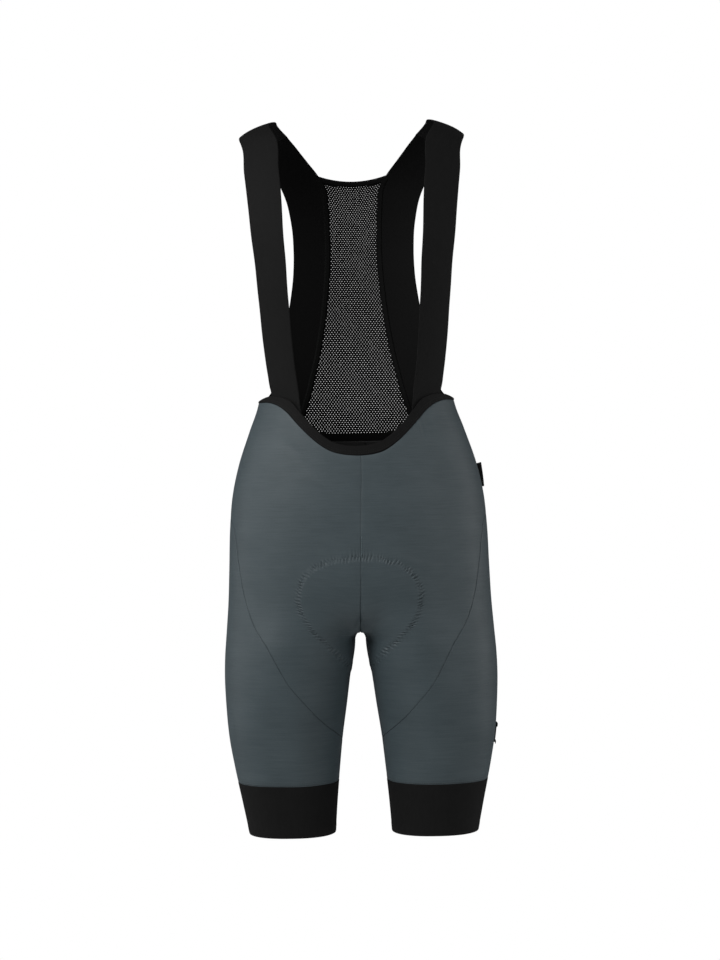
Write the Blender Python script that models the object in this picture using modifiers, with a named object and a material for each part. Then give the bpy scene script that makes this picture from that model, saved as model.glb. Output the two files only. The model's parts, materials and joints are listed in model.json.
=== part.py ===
"""Cycling bib shorts, worn shape with no wearer: stretch shorts, mesh bib and elastic braces.

The garment hangs from the shoulders. The origin is midway between the shoulders, at the
height where the middle of each brace crosses them. +Z is up and the front faces -Y.

Every piece lies on one general figure. A point of a half of the figure has two surface
coordinates: `turn` runs round it, from -1 at the centre front through 0 at the outer side
to +1 at the centre back, and `level` runs down it. Above the hip, a half is half of the
torso. Below the crotch, it is one whole leg, and -1 and +1 meet at the inseam.
"""

import math
from collections import namedtuple

import bmesh
import bpy
import numpy as np

MM = 0.001

# Cloth
CLOTH = 1.5 * MM
CUFF_CLOTH = 2.0 * MM
BINDING_CLOTH = 2.0 * MM
STRAP_CLOTH = 1.6 * MM
NET_CLOTH = 1.2 * MM
PAD_CLOTH = 5.0 * MM
SEAM = 0.3 * MM

# Figure. Drops are measured down from the origin.
HIP = 0.538
CROTCH = 0.648
PELVIS_SPAN = 0.170
ARCH_HALF = 0.0068
ARCH_DROP = 0.012
ARCH_SPAN = 0.016
TORSO_POWER = 2.3
CROTCH_POWER = 4.0
LEG_POWER = 2.3
LEGS_START = 0.585
LEGS_FORMED = 0.775
BRIDGE = 0.62
CREASE = 0.0008

Section = namedtuple("Section", "drop inner outer front back")
FIGURE = (
    Section(-0.0135, 0.0000, 0.0980, 0.0400, 0.0420),
    Section(-0.009, 0.0000, 0.1145, 0.0445, 0.0480),
    Section(-0.002, 0.0000, 0.1320, 0.0510, 0.0560),
    Section(0.005, 0.0000, 0.1430, 0.0570, 0.0635),
    Section(0.020, 0.0000, 0.1550, 0.0670, 0.0785),
    Section(0.040, 0.0000, 0.1640, 0.0770, 0.0930),
    Section(0.085, 0.0000, 0.1720, 0.0950, 0.1080),
    Section(0.130, 0.0000, 0.1670, 0.1080, 0.1120),
    Section(0.190, 0.0000, 0.1540, 0.1120, 0.1060),
    Section(0.250, 0.0000, 0.1410, 0.1090, 0.0960),
    Section(0.300, 0.0000, 0.1310, 0.1050, 0.0890),
    Section(0.352, 0.0000, 0.1262, 0.1020, 0.0860),
    Section(0.388, 0.0000, 0.1385, 0.1035, 0.0900),
    Section(0.430, 0.0000, 0.1528, 0.1070, 0.0985),
    Section(0.471, 0.0000, 0.1620, 0.1100, 0.1100),
    Section(0.513, 0.0000, 0.1660, 0.1115, 0.1210),
    Section(0.565, 0.0000, 0.1680, 0.1110, 0.1290),
    Section(0.610, 0.0000, 0.1700, 0.1075, 0.1270),
    Section(0.648, 0.0000, 0.1730, 0.1030, 0.1180),
    Section(0.679, 0.0030, 0.1755, 0.0980, 0.1070),
    Section(0.700, 0.0063, 0.1762, 0.0940, 0.0990),
    Section(0.742, 0.0120, 0.1749, 0.0870, 0.0860),
    Section(0.783, 0.0180, 0.1716, 0.0800, 0.0750),
    Section(0.825, 0.0225, 0.1645, 0.0730, 0.0670),
    Section(0.866, 0.0265, 0.1560, 0.0670, 0.0610),
    Section(0.910, 0.0298, 0.1472, 0.0620, 0.0560),
)
PELVIS = HIP + PELVIS_SPAN
LEG = PELVIS + ARCH_SPAN


def smooth(at, knots, values):
    """A curve through the values, with no corner at the knots."""
    knots = np.asarray(knots, float)
    values = np.asarray(values, float)
    slope = np.gradient(values, knots)
    i = np.clip(np.searchsorted(knots, at) - 1, 0, len(knots) - 2)
    wide = knots[i + 1] - knots[i]
    t = np.clip((at - knots[i]) / wide, 0.0, 1.0)
    start = (1 + 2 * t) * (1 - t) ** 2 * values[i] + t * (1 - t) ** 2 * wide * slope[i]
    end = t * t * (3 - 2 * t) * values[i + 1] + t * t * (t - 1) * wide * slope[i + 1]
    return start + end


COLUMNS = np.array(FIGURE).T


def size(drop, column):
    return smooth(drop, COLUMNS[0], COLUMNS[Section._fields.index(column)])


def ring(angle, half_width, depth, power):
    """Distance from the middle of an oval to its edge, in the direction of the angle."""
    across = np.abs(np.cos(angle) / half_width) ** power
    along = np.abs(np.sin(angle) / depth) ** power
    return (across + along) ** (-1 / power)


def point(turn, level):
    """The figure's point. The half is the one on the +X side."""
    turn, level = np.broadcast_arrays(np.asarray(turn, float), np.asarray(level, float))
    k = np.clip((np.abs(turn) - BRIDGE) / (1 - BRIDGE), 0, 1)
    near = k * k * (3 - 2 * k)
    pelvis = np.clip((level - HIP) / PELVIS_SPAN, 0, 1) * math.pi / 2
    arch = np.clip((level - PELVIS) / ARCH_SPAN, 0, 1) * math.pi / 2
    over = np.where(
        level < PELVIS,
        HIP + (CROTCH - HIP) * np.sin(pelvis),
        CROTCH + ARCH_DROP * (1 - np.cos(arch)),
    )
    plain = HIP + (CROTCH + ARCH_DROP - HIP) * (level - HIP) / (LEG - HIP)
    drop = plain + (over - plain) * near
    drop = np.where(level < HIP, level, drop)
    drop = np.where(level > LEG, CROTCH + ARCH_DROP + level - LEG, drop)
    inner = size(drop, "inner") + ARCH_HALF * np.sin(arch) + SEAM / 2
    outer = size(drop, "outer")
    depth = np.where(turn < 0, size(drop, "front"), size(drop, "back"))
    torso = turn * math.pi / 2
    reach = ring(torso, outer, depth, TORSO_POWER)
    torso_x, torso_y = reach * np.cos(torso), reach * np.sin(torso)
    leg = turn * math.pi
    reach = ring(leg, (outer - inner) / 2, depth, LEG_POWER)
    leg_x = (outer + inner) / 2 + reach * np.cos(leg)
    leg_y = reach * np.sin(leg)
    power = np.where(turn < 0, CROTCH_POWER, TORSO_POWER)
    middle = 1 - (1 - np.sin(pelvis) ** power) ** (1 / power)
    s = np.clip((drop - LEGS_START) / (LEGS_FORMED - LEGS_START), 0, 1)
    side = s * s * (3 - 2 * s)
    legness = side + (middle - side) * near
    x = torso_x + (leg_x - torso_x) * legness + CREASE * near * np.sin(pelvis) ** 2
    y = torso_y + (leg_y - torso_y) * legness
    return np.stack([x, y, -drop], -1)


def turn_at(x, drop, face):
    """The turn, above the hip, of the point this far from the middle; face is -1 front, +1 back."""
    half = size(drop, "outer")
    depth = np.where(face < 0, size(drop, "front"), size(drop, "back"))
    share = np.clip(np.abs(x) / half, 0, 1)
    y = depth * (1 - share**TORSO_POWER) ** (1 / TORSO_POWER)
    return face * np.arctan2(y, np.abs(x)) / (math.pi / 2)


# Waist seams: the top edge of the grey panels, by distance from the middle.
WaistRow = namedtuple("WaistRow", "x drop")
FRONT_WAIST = (
    WaistRow(0.0000, 0.4225),
    WaistRow(0.0190, 0.4205),
    WaistRow(0.0330, 0.4165),
    WaistRow(0.0465, 0.4085),
    WaistRow(0.0605, 0.3963),
    WaistRow(0.0750, 0.3810),
    WaistRow(0.0886, 0.3655),
    WaistRow(0.0980, 0.3580),
    WaistRow(0.1090, 0.3532),
    WaistRow(0.1262, 0.3516),
)
WAIST_HALF = 0.1262
BACK_WAIST = 0.401
BACK_RISE = 0.0494
BINDING_WIDTH = 0.0120
BINDING_END = 0.0026
BAND_WIDTH = 0.0110
BAND_END = 0.0026
FRONT_COLUMNS = (
    0.0, 0.018, 0.033, 0.046, 0.059, 0.072, 0.085, 0.0975, 0.110, 0.1180, 0.1237, WAIST_HALF,
)
BACK_COLUMNS = (0.0, 0.019, 0.038, 0.058, 0.077, 0.0905, 0.103, 0.1135, 0.1215, WAIST_HALF)
STRAP_COLUMNS = slice(5, 9)
NET_COLUMN = 4

# The seam round the outer leg panel, the same in front and behind.
SeamRow = namedtuple("SeamRow", "level turn")
LEG_SEAM = (
    SeamRow(0.4940, 0.000),
    SeamRow(0.5050, 0.120),
    SeamRow(0.5250, 0.178),
    SeamRow(0.5640, 0.213),
    SeamRow(0.6300, 0.262),
    SeamRow(0.7000, 0.350),
    SeamRow(0.7400, 0.430),
    SeamRow(0.7750, 0.508),
    SeamRow(0.8000, 0.590),
    SeamRow(0.8200, 0.670),
    SeamRow(0.8350, 0.765),
    SeamRow(0.8460, 0.880),
    SeamRow(0.8520, 1.000),
)
SIDE_ROWS = (0.3516, 0.3850, 0.4200, 0.4550, 0.4800)
SEAM_ROWS = (
    0.4947, 0.5020, 0.5120, 0.5300, 0.5640, 0.6000, 0.6300, 0.6550, 0.6720, 0.6820, 0.6900,
    0.6980, 0.7080, 0.7220, 0.7450, 0.7700, 0.7950, 0.8150, 0.8320, 0.8440, 0.8512,
)
CUFF_TOP = 0.841
HEM = 0.908
CUFF_LEVEL = LEG + CUFF_TOP - CROTCH - ARCH_DROP
HEM_LEVEL = LEG + HEM - CROTCH - ARCH_DROP
SEAM_END = 0.8560
LEG_ROWS = 12
LEG_TURN = 0.250
CUFF_COLUMNS = 24
EDGE = 0.0008

# Braces and bib. Face is -1 in front, 0 on the shoulder line and +1 behind.
EdgeRow = namedtuple("EdgeRow", "x drop face")
STRAP_INNER = (
    EdgeRow(0.0720, 0.3690, -1),
    EdgeRow(0.0775, 0.3000, -1),
    EdgeRow(0.0828, 0.2270, -1),
    EdgeRow(0.0862, 0.1640, -1),
    EdgeRow(0.0895, 0.1000, -1),
    EdgeRow(0.0930, 0.0560, -1),
    EdgeRow(0.0960, 0.0150, -1),
    EdgeRow(0.0980, -0.0135, 0),
    EdgeRow(0.0966, -0.0119, 1),
    EdgeRow(0.0943, -0.0098, 1),
    EdgeRow(0.0911, -0.0070, 1),
    EdgeRow(0.0878, -0.0042, 1),
    EdgeRow(0.0850, -0.0018, 1),
)
STRAP_OUTER = (
    EdgeRow(0.1100, 0.3410, -1),
    EdgeRow(0.1155, 0.2890, -1),
    EdgeRow(0.1210, 0.2260, -1),
    EdgeRow(0.1268, 0.1620, -1),
    EdgeRow(0.1335, 0.0970, -1),
    EdgeRow(0.1376, 0.0610, -1),
    EdgeRow(0.1408, 0.0240, -1),
    EdgeRow(0.1430, 0.0050, 0),
    EdgeRow(0.1270, 0.0200, 1),
)
BIB_INNER = (
    EdgeRow(0.0850, -0.0018, 1),
    EdgeRow(0.0736, 0.0109, 1),
    EdgeRow(0.0577, 0.0297, 1),
    EdgeRow(0.0452, 0.0450, 1),
    EdgeRow(0.0380, 0.0570, 1),
    EdgeRow(0.0340, 0.0850, 1),
    EdgeRow(0.0326, 0.1165, 1),
    EdgeRow(0.0325, 0.1500, 1),
    EdgeRow(0.0366, 0.2078, 1),
    EdgeRow(0.0470, 0.2790, 1),
    EdgeRow(0.0580, 0.3260, 1),
    EdgeRow(0.0715, 0.3690, 1),
    EdgeRow(0.0770, 0.3865, 1),
)
BIB_OUTER = (
    EdgeRow(0.1270, 0.0200, 1),
    EdgeRow(0.1100, 0.0390, 1),
    EdgeRow(0.0980, 0.0570, 1),
    EdgeRow(0.0895, 0.0770, 1),
    EdgeRow(0.0830, 0.1090, 1),
    EdgeRow(0.0808, 0.1430, 1),
    EdgeRow(0.0817, 0.1770, 1),
    EdgeRow(0.0858, 0.2110, 1),
    EdgeRow(0.0930, 0.2500, 1),
    EdgeRow(0.0995, 0.2850, 1),
    EdgeRow(0.1060, 0.3150, 1),
    EdgeRow(0.1122, 0.3360, 1),
    EdgeRow(0.1185, 0.3445, 1),
    EdgeRow(0.1261, 0.3485, 0),
)
BIB_DROPS = (
    0.0109, 0.0297, 0.0450, 0.0515, 0.080, 0.1165, 0.150, 0.190, 0.230, 0.270, 0.305, 0.340, 0.369,
)
NECK_CORNER = 3
NECK_BOW = 0.0070

# The pad, on the saddle between front, crotch and back.
PAD_FRONT = 0.397
PAD_BACK = 0.430
PAD_SIDE = 0.240
PAD_POWER = 3.0
PAD_GAP = 2.9 * MM
TURN_LENGTH = 0.270
PAD_ROWS = 21
PAD_COLUMNS = 15

# Trim on the +X side
TAB_TOP = 0.4340
TAB_FOOT = 0.4645
TAB_OUT_TOP = 6.5 * MM
TAB_OUT_FOOT = 2.8 * MM
TAB_CLOTH = 0.8 * MM
PATCH_CLOTH = 0.8 * MM


def front_waist(x):
    rows = np.array(FRONT_WAIST).T
    return smooth(np.abs(x), rows[0], rows[1])


def back_waist(x):
    return BACK_WAIST - BACK_RISE * (np.abs(x) / WAIST_HALF) ** 4


def waist_columns(columns, waist, face):
    """Turn and level of the waist seam at each column."""
    x = np.array(columns)
    level = waist(x)
    turn = turn_at(x, level, face)
    turn[0] = face * (1 - EDGE)
    turn[-1] = face * EDGE
    return turn, level


def raised(x, level, waist, width, end):
    """The level of the upper edge of a band sewn along the waist seam."""
    slope = (waist(np.abs(x) + MM) - waist(np.abs(x) - MM)) / (2 * MM)
    share = np.clip((np.abs(x) - 0.085) / (WAIST_HALF - 0.085), 0, 1)
    wide = width + (end - width) * share**2
    return level - wide * np.sqrt(1 + slope**2 * (1 - share))


def leg_seam(level, shift):
    """How far round the leg seam lies at this level, shift moves it off its line."""
    rows = np.array(LEG_SEAM).T
    at = np.asarray(level, float) - shift
    turn = smooth(at, rows[0], rows[1]) - shift * EDGE / (SEAM / 2)
    turn = np.where(at < rows[0][0], EDGE * np.sign(-shift), turn)
    return np.clip(turn, EDGE, 1 - EDGE)


FRONT_TURNS, FRONT_LEVELS = waist_columns(FRONT_COLUMNS, front_waist, -1)
BACK_TURNS, BACK_LEVELS = waist_columns(BACK_COLUMNS, back_waist, 1)
BINDING_LEVELS = raised(
    np.array(FRONT_COLUMNS), FRONT_LEVELS, front_waist, BINDING_WIDTH, BINDING_END
)
BAND_LEVELS = raised(np.array(BACK_COLUMNS), BACK_LEVELS, back_waist, BAND_WIDTH, BAND_END)


def edge_curve(rows, t):
    """Turn and level along an edge, t from 0 to 1 by its length."""
    x, drop, face = np.array(rows).T
    turn = np.where(face == 0, 0.0, turn_at(x, drop, np.where(face == 0, 1.0, face)))
    spot = point(turn, drop)
    length = np.concatenate([[0], np.cumsum(np.linalg.norm(np.diff(spot, axis=0), axis=1))])
    length /= length[-1]
    return smooth(t, length, turn), smooth(t, length, drop)


def panel_grid(face):
    """A front or back panel: centre edge and inseam at column 0, side and leg seam at the last."""
    turns, levels = (FRONT_TURNS, FRONT_LEVELS) if face < 0 else (BACK_TURNS, BACK_LEVELS)
    top = levels + SEAM / 2
    across = (1 - EDGE - np.abs(turns)) / (1 - 2 * EDGE)
    rows = np.array(SIDE_ROWS + SEAM_ROWS)
    down = (rows - rows[0]) / (rows[-1] - rows[0])
    level = top + (rows[-1] - top) * down[:, None]
    seam = leg_seam(level, -SEAM / 2)
    seam[0] = EDGE
    turn = 1 - EDGE - (1 - EDGE - seam) * across
    return face * turn, level


def leg_grid():
    """The outer leg panel, in columns from the seam down to the cuff."""
    rows = np.array(SEAM_ROWS[1:])
    level = np.concatenate([[LEG_SEAM[0].level + SEAM / 2], rows, [SEAM_END]])
    turn = np.concatenate([[0.0], leg_seam(rows, SEAM / 2), [1 - EDGE]])
    steps = np.hypot(np.diff(turn) * LEG_TURN, np.diff(level))
    foot = np.concatenate([[0.0], np.cumsum(steps)]) / steps.sum() * (1 - EDGE)
    down = np.linspace(0, 1, LEG_ROWS)[:, None]
    turn = turn + (foot - turn) * down
    level = level + (CUFF_LEVEL - SEAM / 2 - level) * down
    turn = np.concatenate([-turn[:, :0:-1], turn], 1)
    level = np.concatenate([level[:, :0:-1], level], 1)
    return turn, level


def cuff_grid():
    rows = np.array((CUFF_LEVEL + SEAM / 2, CUFF_LEVEL + 0.033, HEM_LEVEL))
    level = np.repeat(rows[:, None], CUFF_COLUMNS + 1, 1)
    turn = np.repeat((1 - EDGE) * np.linspace(-1, 1, CUFF_COLUMNS + 1)[None], len(rows), 0)
    return turn, level


def across_body(turn, level):
    """Columns from the middle out, made to run from the -X side to the +X side."""
    middle = np.sign(turn[:, :1])
    turn = np.concatenate([turn[:, :0:-1], middle, turn[:, 1:]], 1)
    level = np.concatenate([level[:, :0:-1], level[:, :1], level[:, 1:]], 1)
    side = np.ones(turn.shape[1])
    side[: turn.shape[1] // 2] = -1
    return turn, level, side


def waist_grid(turns, low, high):
    turn = np.stack([turns, turns])
    level = np.stack([high, low - SEAM / 2])
    return across_body(turn, level)


def strap_grid():
    """A brace, from the waist binding over the shoulder to the bib seam behind it."""
    foot = FRONT_TURNS[STRAP_COLUMNS]
    across = (foot - foot[0]) / (foot[-1] - foot[0])
    t = np.linspace(0, 1, 23)[:, None]
    t = 0.35 * t + 0.65 * (1 - (1 - t) ** 1.6)
    t *= 1 - 0.0004
    turn_in, level_in = edge_curve(STRAP_INNER, t)
    turn_out, level_out = edge_curve(STRAP_OUTER, t)
    turn = turn_in + (turn_out - turn_in) * across
    level = level_in + (level_out - level_in) * across
    fade = np.clip(1 - t / 0.12, 0, 1)
    turn = turn + (foot - turn[0]) * fade
    level = level + (BINDING_LEVELS[STRAP_COLUMNS] - 1.5 * SEAM - level[0]) * fade
    return turn, level


def bib_rows():
    """Shares of the length of the bib panel's inner edge at its rows."""
    t = np.linspace(0, 1, 2001)
    level = edge_curve(BIB_INNER, t)[1]
    return np.concatenate([[0.0004], np.interp(BIB_DROPS, level, t), [1.0]])[:, None]


def bib_grid():
    foot = BACK_TURNS[NET_COLUMN:]
    across = (foot - foot[0]) / (foot[-1] - foot[0])
    t = bib_rows()
    turn_in, level_in = edge_curve(BIB_INNER, t)
    turn_out, level_out = edge_curve(BIB_OUTER, t)
    turn = turn_in + (turn_out - turn_in) * across
    level = level_in + (level_out - level_in) * across
    fade = np.clip((t - 0.80) / 0.20, 0, 1)
    turn = turn + (foot - turn[-1]) * fade
    level = level + (BAND_LEVELS[NET_COLUMN:] - 1.2 * SEAM - level[-1]) * fade
    return turn, level


def net_rows(first, last):
    """The net between the bib panels, and the binding above it, row by row from their shared edge."""
    turn, level = (grid[first:last, 0] for grid in bib_grid())
    edge_x = point(turn, level)[:, 0] - 1.3 * SEAM
    share = np.array(BACK_COLUMNS[: NET_COLUMN + 1]) / BACK_COLUMNS[NET_COLUMN]
    bow = NECK_BOW * np.clip(1 - (level - 0.0515) / 0.120, 0, 1) ** 2
    rise = level[:, None] + bow[:, None] * (1 - share**2)
    return edge_x[:, None] * share, rise


def net_grid():
    x, level = net_rows(NECK_CORNER + 1, None)
    level[0] += SEAM / 2
    foot = BAND_LEVELS[: NET_COLUMN + 1] - 1.2 * SEAM
    fade = np.clip((level[:, -1:] - 0.30) / (level[-1, -1] - 0.30), 0, 1)
    level = level + (foot - level[-1]) * fade
    return across_body(turn_at(x, level, 1), level)


def neck_grid():
    x, level = net_rows(NECK_CORNER, NECK_CORNER + 2)
    level[1] -= SEAM / 2
    return across_body(turn_at(x, level, 1), level)


def moved_out(spots, distance):
    """A grid of points moved along its normals, to the side where row cross column points."""
    down = np.gradient(spots, axis=0)
    round_ = np.gradient(spots, axis=1)
    out = np.cross(down, round_)
    out /= np.linalg.norm(out, axis=-1, keepdims=True)
    return spots + out * distance


def pad_points():
    """The pad in saddle coordinates: `along` runs from the front over the crotch to the back,
    `away` from the middle to the pad's rim, and the midline folds up in front and behind."""
    along = np.sin(np.linspace(-0.5, 0.5, PAD_ROWS) * math.pi * 0.93)[:, None]
    rim = PAD_SIDE * (1 - np.abs(along) ** PAD_POWER) ** (1 / PAD_POWER)
    along = along * np.where(along < 0, PAD_FRONT, PAD_BACK)
    share = np.linspace(-1, 1, PAD_COLUMNS)
    away = rim * np.abs(share) ** 1.3
    from_middle = 2 * np.abs(along) * away / TURN_LENGTH
    turn = np.where(along < 0, -1, 1) * (1 - from_middle)
    spots = point(turn, PELVIS + away**2 - along**2)
    spots[..., 0] *= np.sign(share)
    return moved_out(spots, -(CLOTH / 2 + PAD_GAP + PAD_CLOTH / 2))


def tab_points():
    """A tape folded in two, its fold pointing out of the side seam."""
    angle = np.linspace(-1, 1, 9) * math.pi / 2
    out = np.clip(np.cos(angle) * 1.6, 0, 1)
    aside = np.sin(angle) * 1.0 * MM
    level = np.array((TAB_TOP, (TAB_TOP + TAB_FOOT) / 2, TAB_FOOT))[:, None]
    seam = point(np.zeros_like(level), level)
    run = seam[-1, 0] - seam[0, 0]
    way = np.array((-run[2], 0.0, run[0])) / math.hypot(run[0], run[2])
    reach = TAB_OUT_TOP + (TAB_OUT_FOOT - TAB_OUT_TOP) * (level - TAB_TOP) / (TAB_FOOT - TAB_TOP)
    base = CLOTH / 2 + 1.5 * SEAM
    spots = seam + way * (base + reach * out)[..., None]
    spots[..., 1] += aside
    return spots


def between(grid, spots):
    """Points part of the way from one row or column of a grid to the next."""
    low = np.floor(spots).astype(int)
    part = (np.array(spots) - low).reshape(-1, *[1] * (grid.ndim - 1))
    return grid[low] * (1 - part) + grid[low + 1] * part


def patch_points():
    """A plain patch on the outer thigh, from the leg panel's own points moved out."""
    panel = point(*leg_grid())
    middle = panel.shape[1] // 2
    spots = between(panel, (9.11, 9.80))
    columns = (middle - 0.92, middle, middle + 1, middle + 1.78)
    spots = between(spots.swapaxes(0, 1), columns).swapaxes(0, 1)
    return moved_out(spots, CLOTH / 2 + SEAM + PATCH_CLOTH / 2 + 0.1 * MM)


def material(name, colour, roughness):
    made = bpy.data.materials.new(name)
    made.use_nodes = True
    shader = made.node_tree.nodes["Principled BSDF"]
    shader.inputs["Base Color"].default_value = (*colour, 1.0)
    shader.inputs["Roughness"].default_value = roughness
    shader.inputs["Metallic"].default_value = 0.0
    return made


def cloth(name, spots, thickness, stuff, home):
    """A sheet through a grid of points, given its thickness half to each side."""
    rows, columns = spots.shape[:2]
    sheet = bmesh.new()
    bmesh.ops.create_grid(sheet, x_segments=columns - 1, y_segments=rows - 1, size=1.0)
    for vertex in sheet.verts:
        column = round((vertex.co.x + 1) / 2 * (columns - 1))
        row = round((vertex.co.y + 1) / 2 * (rows - 1))
        vertex.co = spots[row, column]
    mesh = bpy.data.meshes.new(name)
    sheet.to_mesh(mesh)
    sheet.free()
    mesh.shade_smooth()
    mesh.materials.append(stuff)
    piece = bpy.data.objects.new(name, mesh)
    home.objects.link(piece)
    wall = piece.modifiers.new("cloth", "SOLIDIFY")
    wall.thickness = thickness
    wall.offset = 0.0
    return piece


def half_piece(name, side, turn, level, thickness, stuff, home):
    spots = point(turn, level) * (side, 1, 1)
    return cloth(name, spots, thickness, stuff, home)


def whole_piece(name, turn, level, side, thickness, stuff, home):
    spots = point(turn, level)
    spots[..., 0] *= side
    spots[:, spots.shape[1] // 2, 0] = 0
    return cloth(name, spots, thickness, stuff, home)


def main():
    for old in list(bpy.data.objects):
        bpy.data.objects.remove(old, do_unlink=True)
    home = bpy.data.collections.new("Cycling_bib_shorts")
    bpy.context.scene.collection.children.link(home)
    grey = material("slate_jersey", (0.065, 0.081, 0.088), 0.62)
    black = material("black_jersey", (0.0055, 0.0055, 0.0058), 0.70)
    elastic = material("black_elastic", (0.0095, 0.0095, 0.0098), 0.75)
    net = material("black_net", (0.0200, 0.0200, 0.0205), 0.80)
    pad = material("black_pad", (0.0300, 0.0300, 0.0310), 0.85)

    for word, side in (("left", 1), ("right", -1)):
        half_piece(f"front_panel_{word}", side, *panel_grid(-1), CLOTH, grey, home)
        half_piece(f"back_panel_{word}", side, *panel_grid(1), CLOTH, grey, home)
        half_piece(f"leg_panel_{word}", side, *leg_grid(), CLOTH, grey, home)
        half_piece(f"cuff_{word}", side, *cuff_grid(), CUFF_CLOTH, elastic, home)
        half_piece(f"strap_{word}", side, *strap_grid(), STRAP_CLOTH, elastic, home)
        half_piece(f"bib_side_{word}", side, *bib_grid(), CLOTH, black, home)

    binding = waist_grid(FRONT_TURNS, FRONT_LEVELS, BINDING_LEVELS)
    whole_piece("waist_binding", *binding, BINDING_CLOTH, elastic, home)
    band = waist_grid(BACK_TURNS, BACK_LEVELS, BAND_LEVELS)
    whole_piece("waist_band", *band, CLOTH, black, home)
    whole_piece("back_mesh", *net_grid(), NET_CLOTH, net, home)
    whole_piece("neck_binding", *neck_grid(), CLOTH, black, home)
    cloth("seat_pad", pad_points(), PAD_CLOTH, pad, home)
    cloth("hip_tab", tab_points(), TAB_CLOTH, elastic, home)
    cloth("leg_patch", patch_points(), PATCH_CLOTH, elastic, home)


main()
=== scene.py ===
# %% [markdown]
# # Cycling bib shorts
# Stretch shorts are thin cloth shells, cut flat and sewn to stand round a body. This lesson
# makes each cut piece as one closed shell on a figure that is worked out from a short table
# of sizes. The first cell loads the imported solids, which say where every piece has to be.

import json
import math
from collections import namedtuple

import bpy
import numpy as np
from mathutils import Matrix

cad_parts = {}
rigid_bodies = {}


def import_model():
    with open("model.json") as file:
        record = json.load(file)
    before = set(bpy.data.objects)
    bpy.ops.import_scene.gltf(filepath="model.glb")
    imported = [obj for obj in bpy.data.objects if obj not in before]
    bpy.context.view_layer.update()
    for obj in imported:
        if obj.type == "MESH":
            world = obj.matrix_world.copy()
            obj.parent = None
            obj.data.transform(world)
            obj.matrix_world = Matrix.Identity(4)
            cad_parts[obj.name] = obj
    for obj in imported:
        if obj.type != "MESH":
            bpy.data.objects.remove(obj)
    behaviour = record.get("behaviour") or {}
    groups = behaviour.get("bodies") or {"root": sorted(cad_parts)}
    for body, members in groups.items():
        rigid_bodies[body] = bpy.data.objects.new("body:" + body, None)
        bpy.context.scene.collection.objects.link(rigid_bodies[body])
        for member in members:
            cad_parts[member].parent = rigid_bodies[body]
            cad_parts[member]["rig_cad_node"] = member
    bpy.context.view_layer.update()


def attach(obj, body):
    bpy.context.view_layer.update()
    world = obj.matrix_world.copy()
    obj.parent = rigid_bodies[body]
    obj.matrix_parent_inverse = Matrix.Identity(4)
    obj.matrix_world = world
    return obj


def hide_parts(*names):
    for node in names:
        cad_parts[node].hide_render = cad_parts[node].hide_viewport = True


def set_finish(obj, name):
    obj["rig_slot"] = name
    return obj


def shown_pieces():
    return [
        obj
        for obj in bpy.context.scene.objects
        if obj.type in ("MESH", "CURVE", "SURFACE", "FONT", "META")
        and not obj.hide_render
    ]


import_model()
MM = 0.001

# %% [markdown]
# ## The figure
# Cloth could be modelled by pushing points about, but then each seam would have to be matched
# by eye. Here all pieces share one surface with two coordinates: `turn` runs round a half of
# the figure, from -1 at the centre front through 0 at the outer side to +1 at the centre
# back, and `level` runs down it. Two pieces that share a seam use the same line of `turn` and
# `level`, so they meet. Drops are measured down from the shoulders, in metres.

# %% Sizes of the figure
SEAM = 0.3 * MM
HIP = 0.538
CROTCH = 0.648
PELVIS_SPAN = 0.170
ARCH_HALF = 0.0068
ARCH_DROP = 0.012
ARCH_SPAN = 0.016
TORSO_POWER = 2.3
CROTCH_POWER = 4.0
LEG_POWER = 2.3
LEGS_START = 0.585
LEGS_FORMED = 0.775
BRIDGE = 0.62
CREASE = 0.0008
PELVIS = HIP + PELVIS_SPAN
LEG = PELVIS + ARCH_SPAN

Section = namedtuple("Section", "drop inner outer front back")
FIGURE = (
    Section(-0.0135, 0.0000, 0.0980, 0.0400, 0.0420),
    Section(-0.009, 0.0000, 0.1145, 0.0445, 0.0480),
    Section(-0.002, 0.0000, 0.1320, 0.0510, 0.0560),
    Section(0.005, 0.0000, 0.1430, 0.0570, 0.0635),
    Section(0.020, 0.0000, 0.1550, 0.0670, 0.0785),
    Section(0.040, 0.0000, 0.1640, 0.0770, 0.0930),
    Section(0.085, 0.0000, 0.1720, 0.0950, 0.1080),
    Section(0.130, 0.0000, 0.1670, 0.1080, 0.1120),
    Section(0.190, 0.0000, 0.1540, 0.1120, 0.1060),
    Section(0.250, 0.0000, 0.1410, 0.1090, 0.0960),
    Section(0.300, 0.0000, 0.1310, 0.1050, 0.0890),
    Section(0.352, 0.0000, 0.1262, 0.1020, 0.0860),
    Section(0.388, 0.0000, 0.1385, 0.1035, 0.0900),
    Section(0.430, 0.0000, 0.1528, 0.1070, 0.0985),
    Section(0.471, 0.0000, 0.1620, 0.1100, 0.1100),
    Section(0.513, 0.0000, 0.1660, 0.1115, 0.1210),
    Section(0.565, 0.0000, 0.1680, 0.1110, 0.1290),
    Section(0.610, 0.0000, 0.1700, 0.1075, 0.1270),
    Section(0.648, 0.0000, 0.1730, 0.1030, 0.1180),
    Section(0.679, 0.0030, 0.1755, 0.0980, 0.1070),
    Section(0.700, 0.0063, 0.1762, 0.0940, 0.0990),
    Section(0.742, 0.0120, 0.1749, 0.0870, 0.0860),
    Section(0.783, 0.0180, 0.1716, 0.0800, 0.0750),
    Section(0.825, 0.0225, 0.1645, 0.0730, 0.0670),
    Section(0.866, 0.0265, 0.1560, 0.0670, 0.0610),
    Section(0.910, 0.0298, 0.1472, 0.0620, 0.0560),
)
COLUMNS = np.array(FIGURE).T
print("figure sections:", len(FIGURE), "legs part at level", round(PELVIS, 3))


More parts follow.
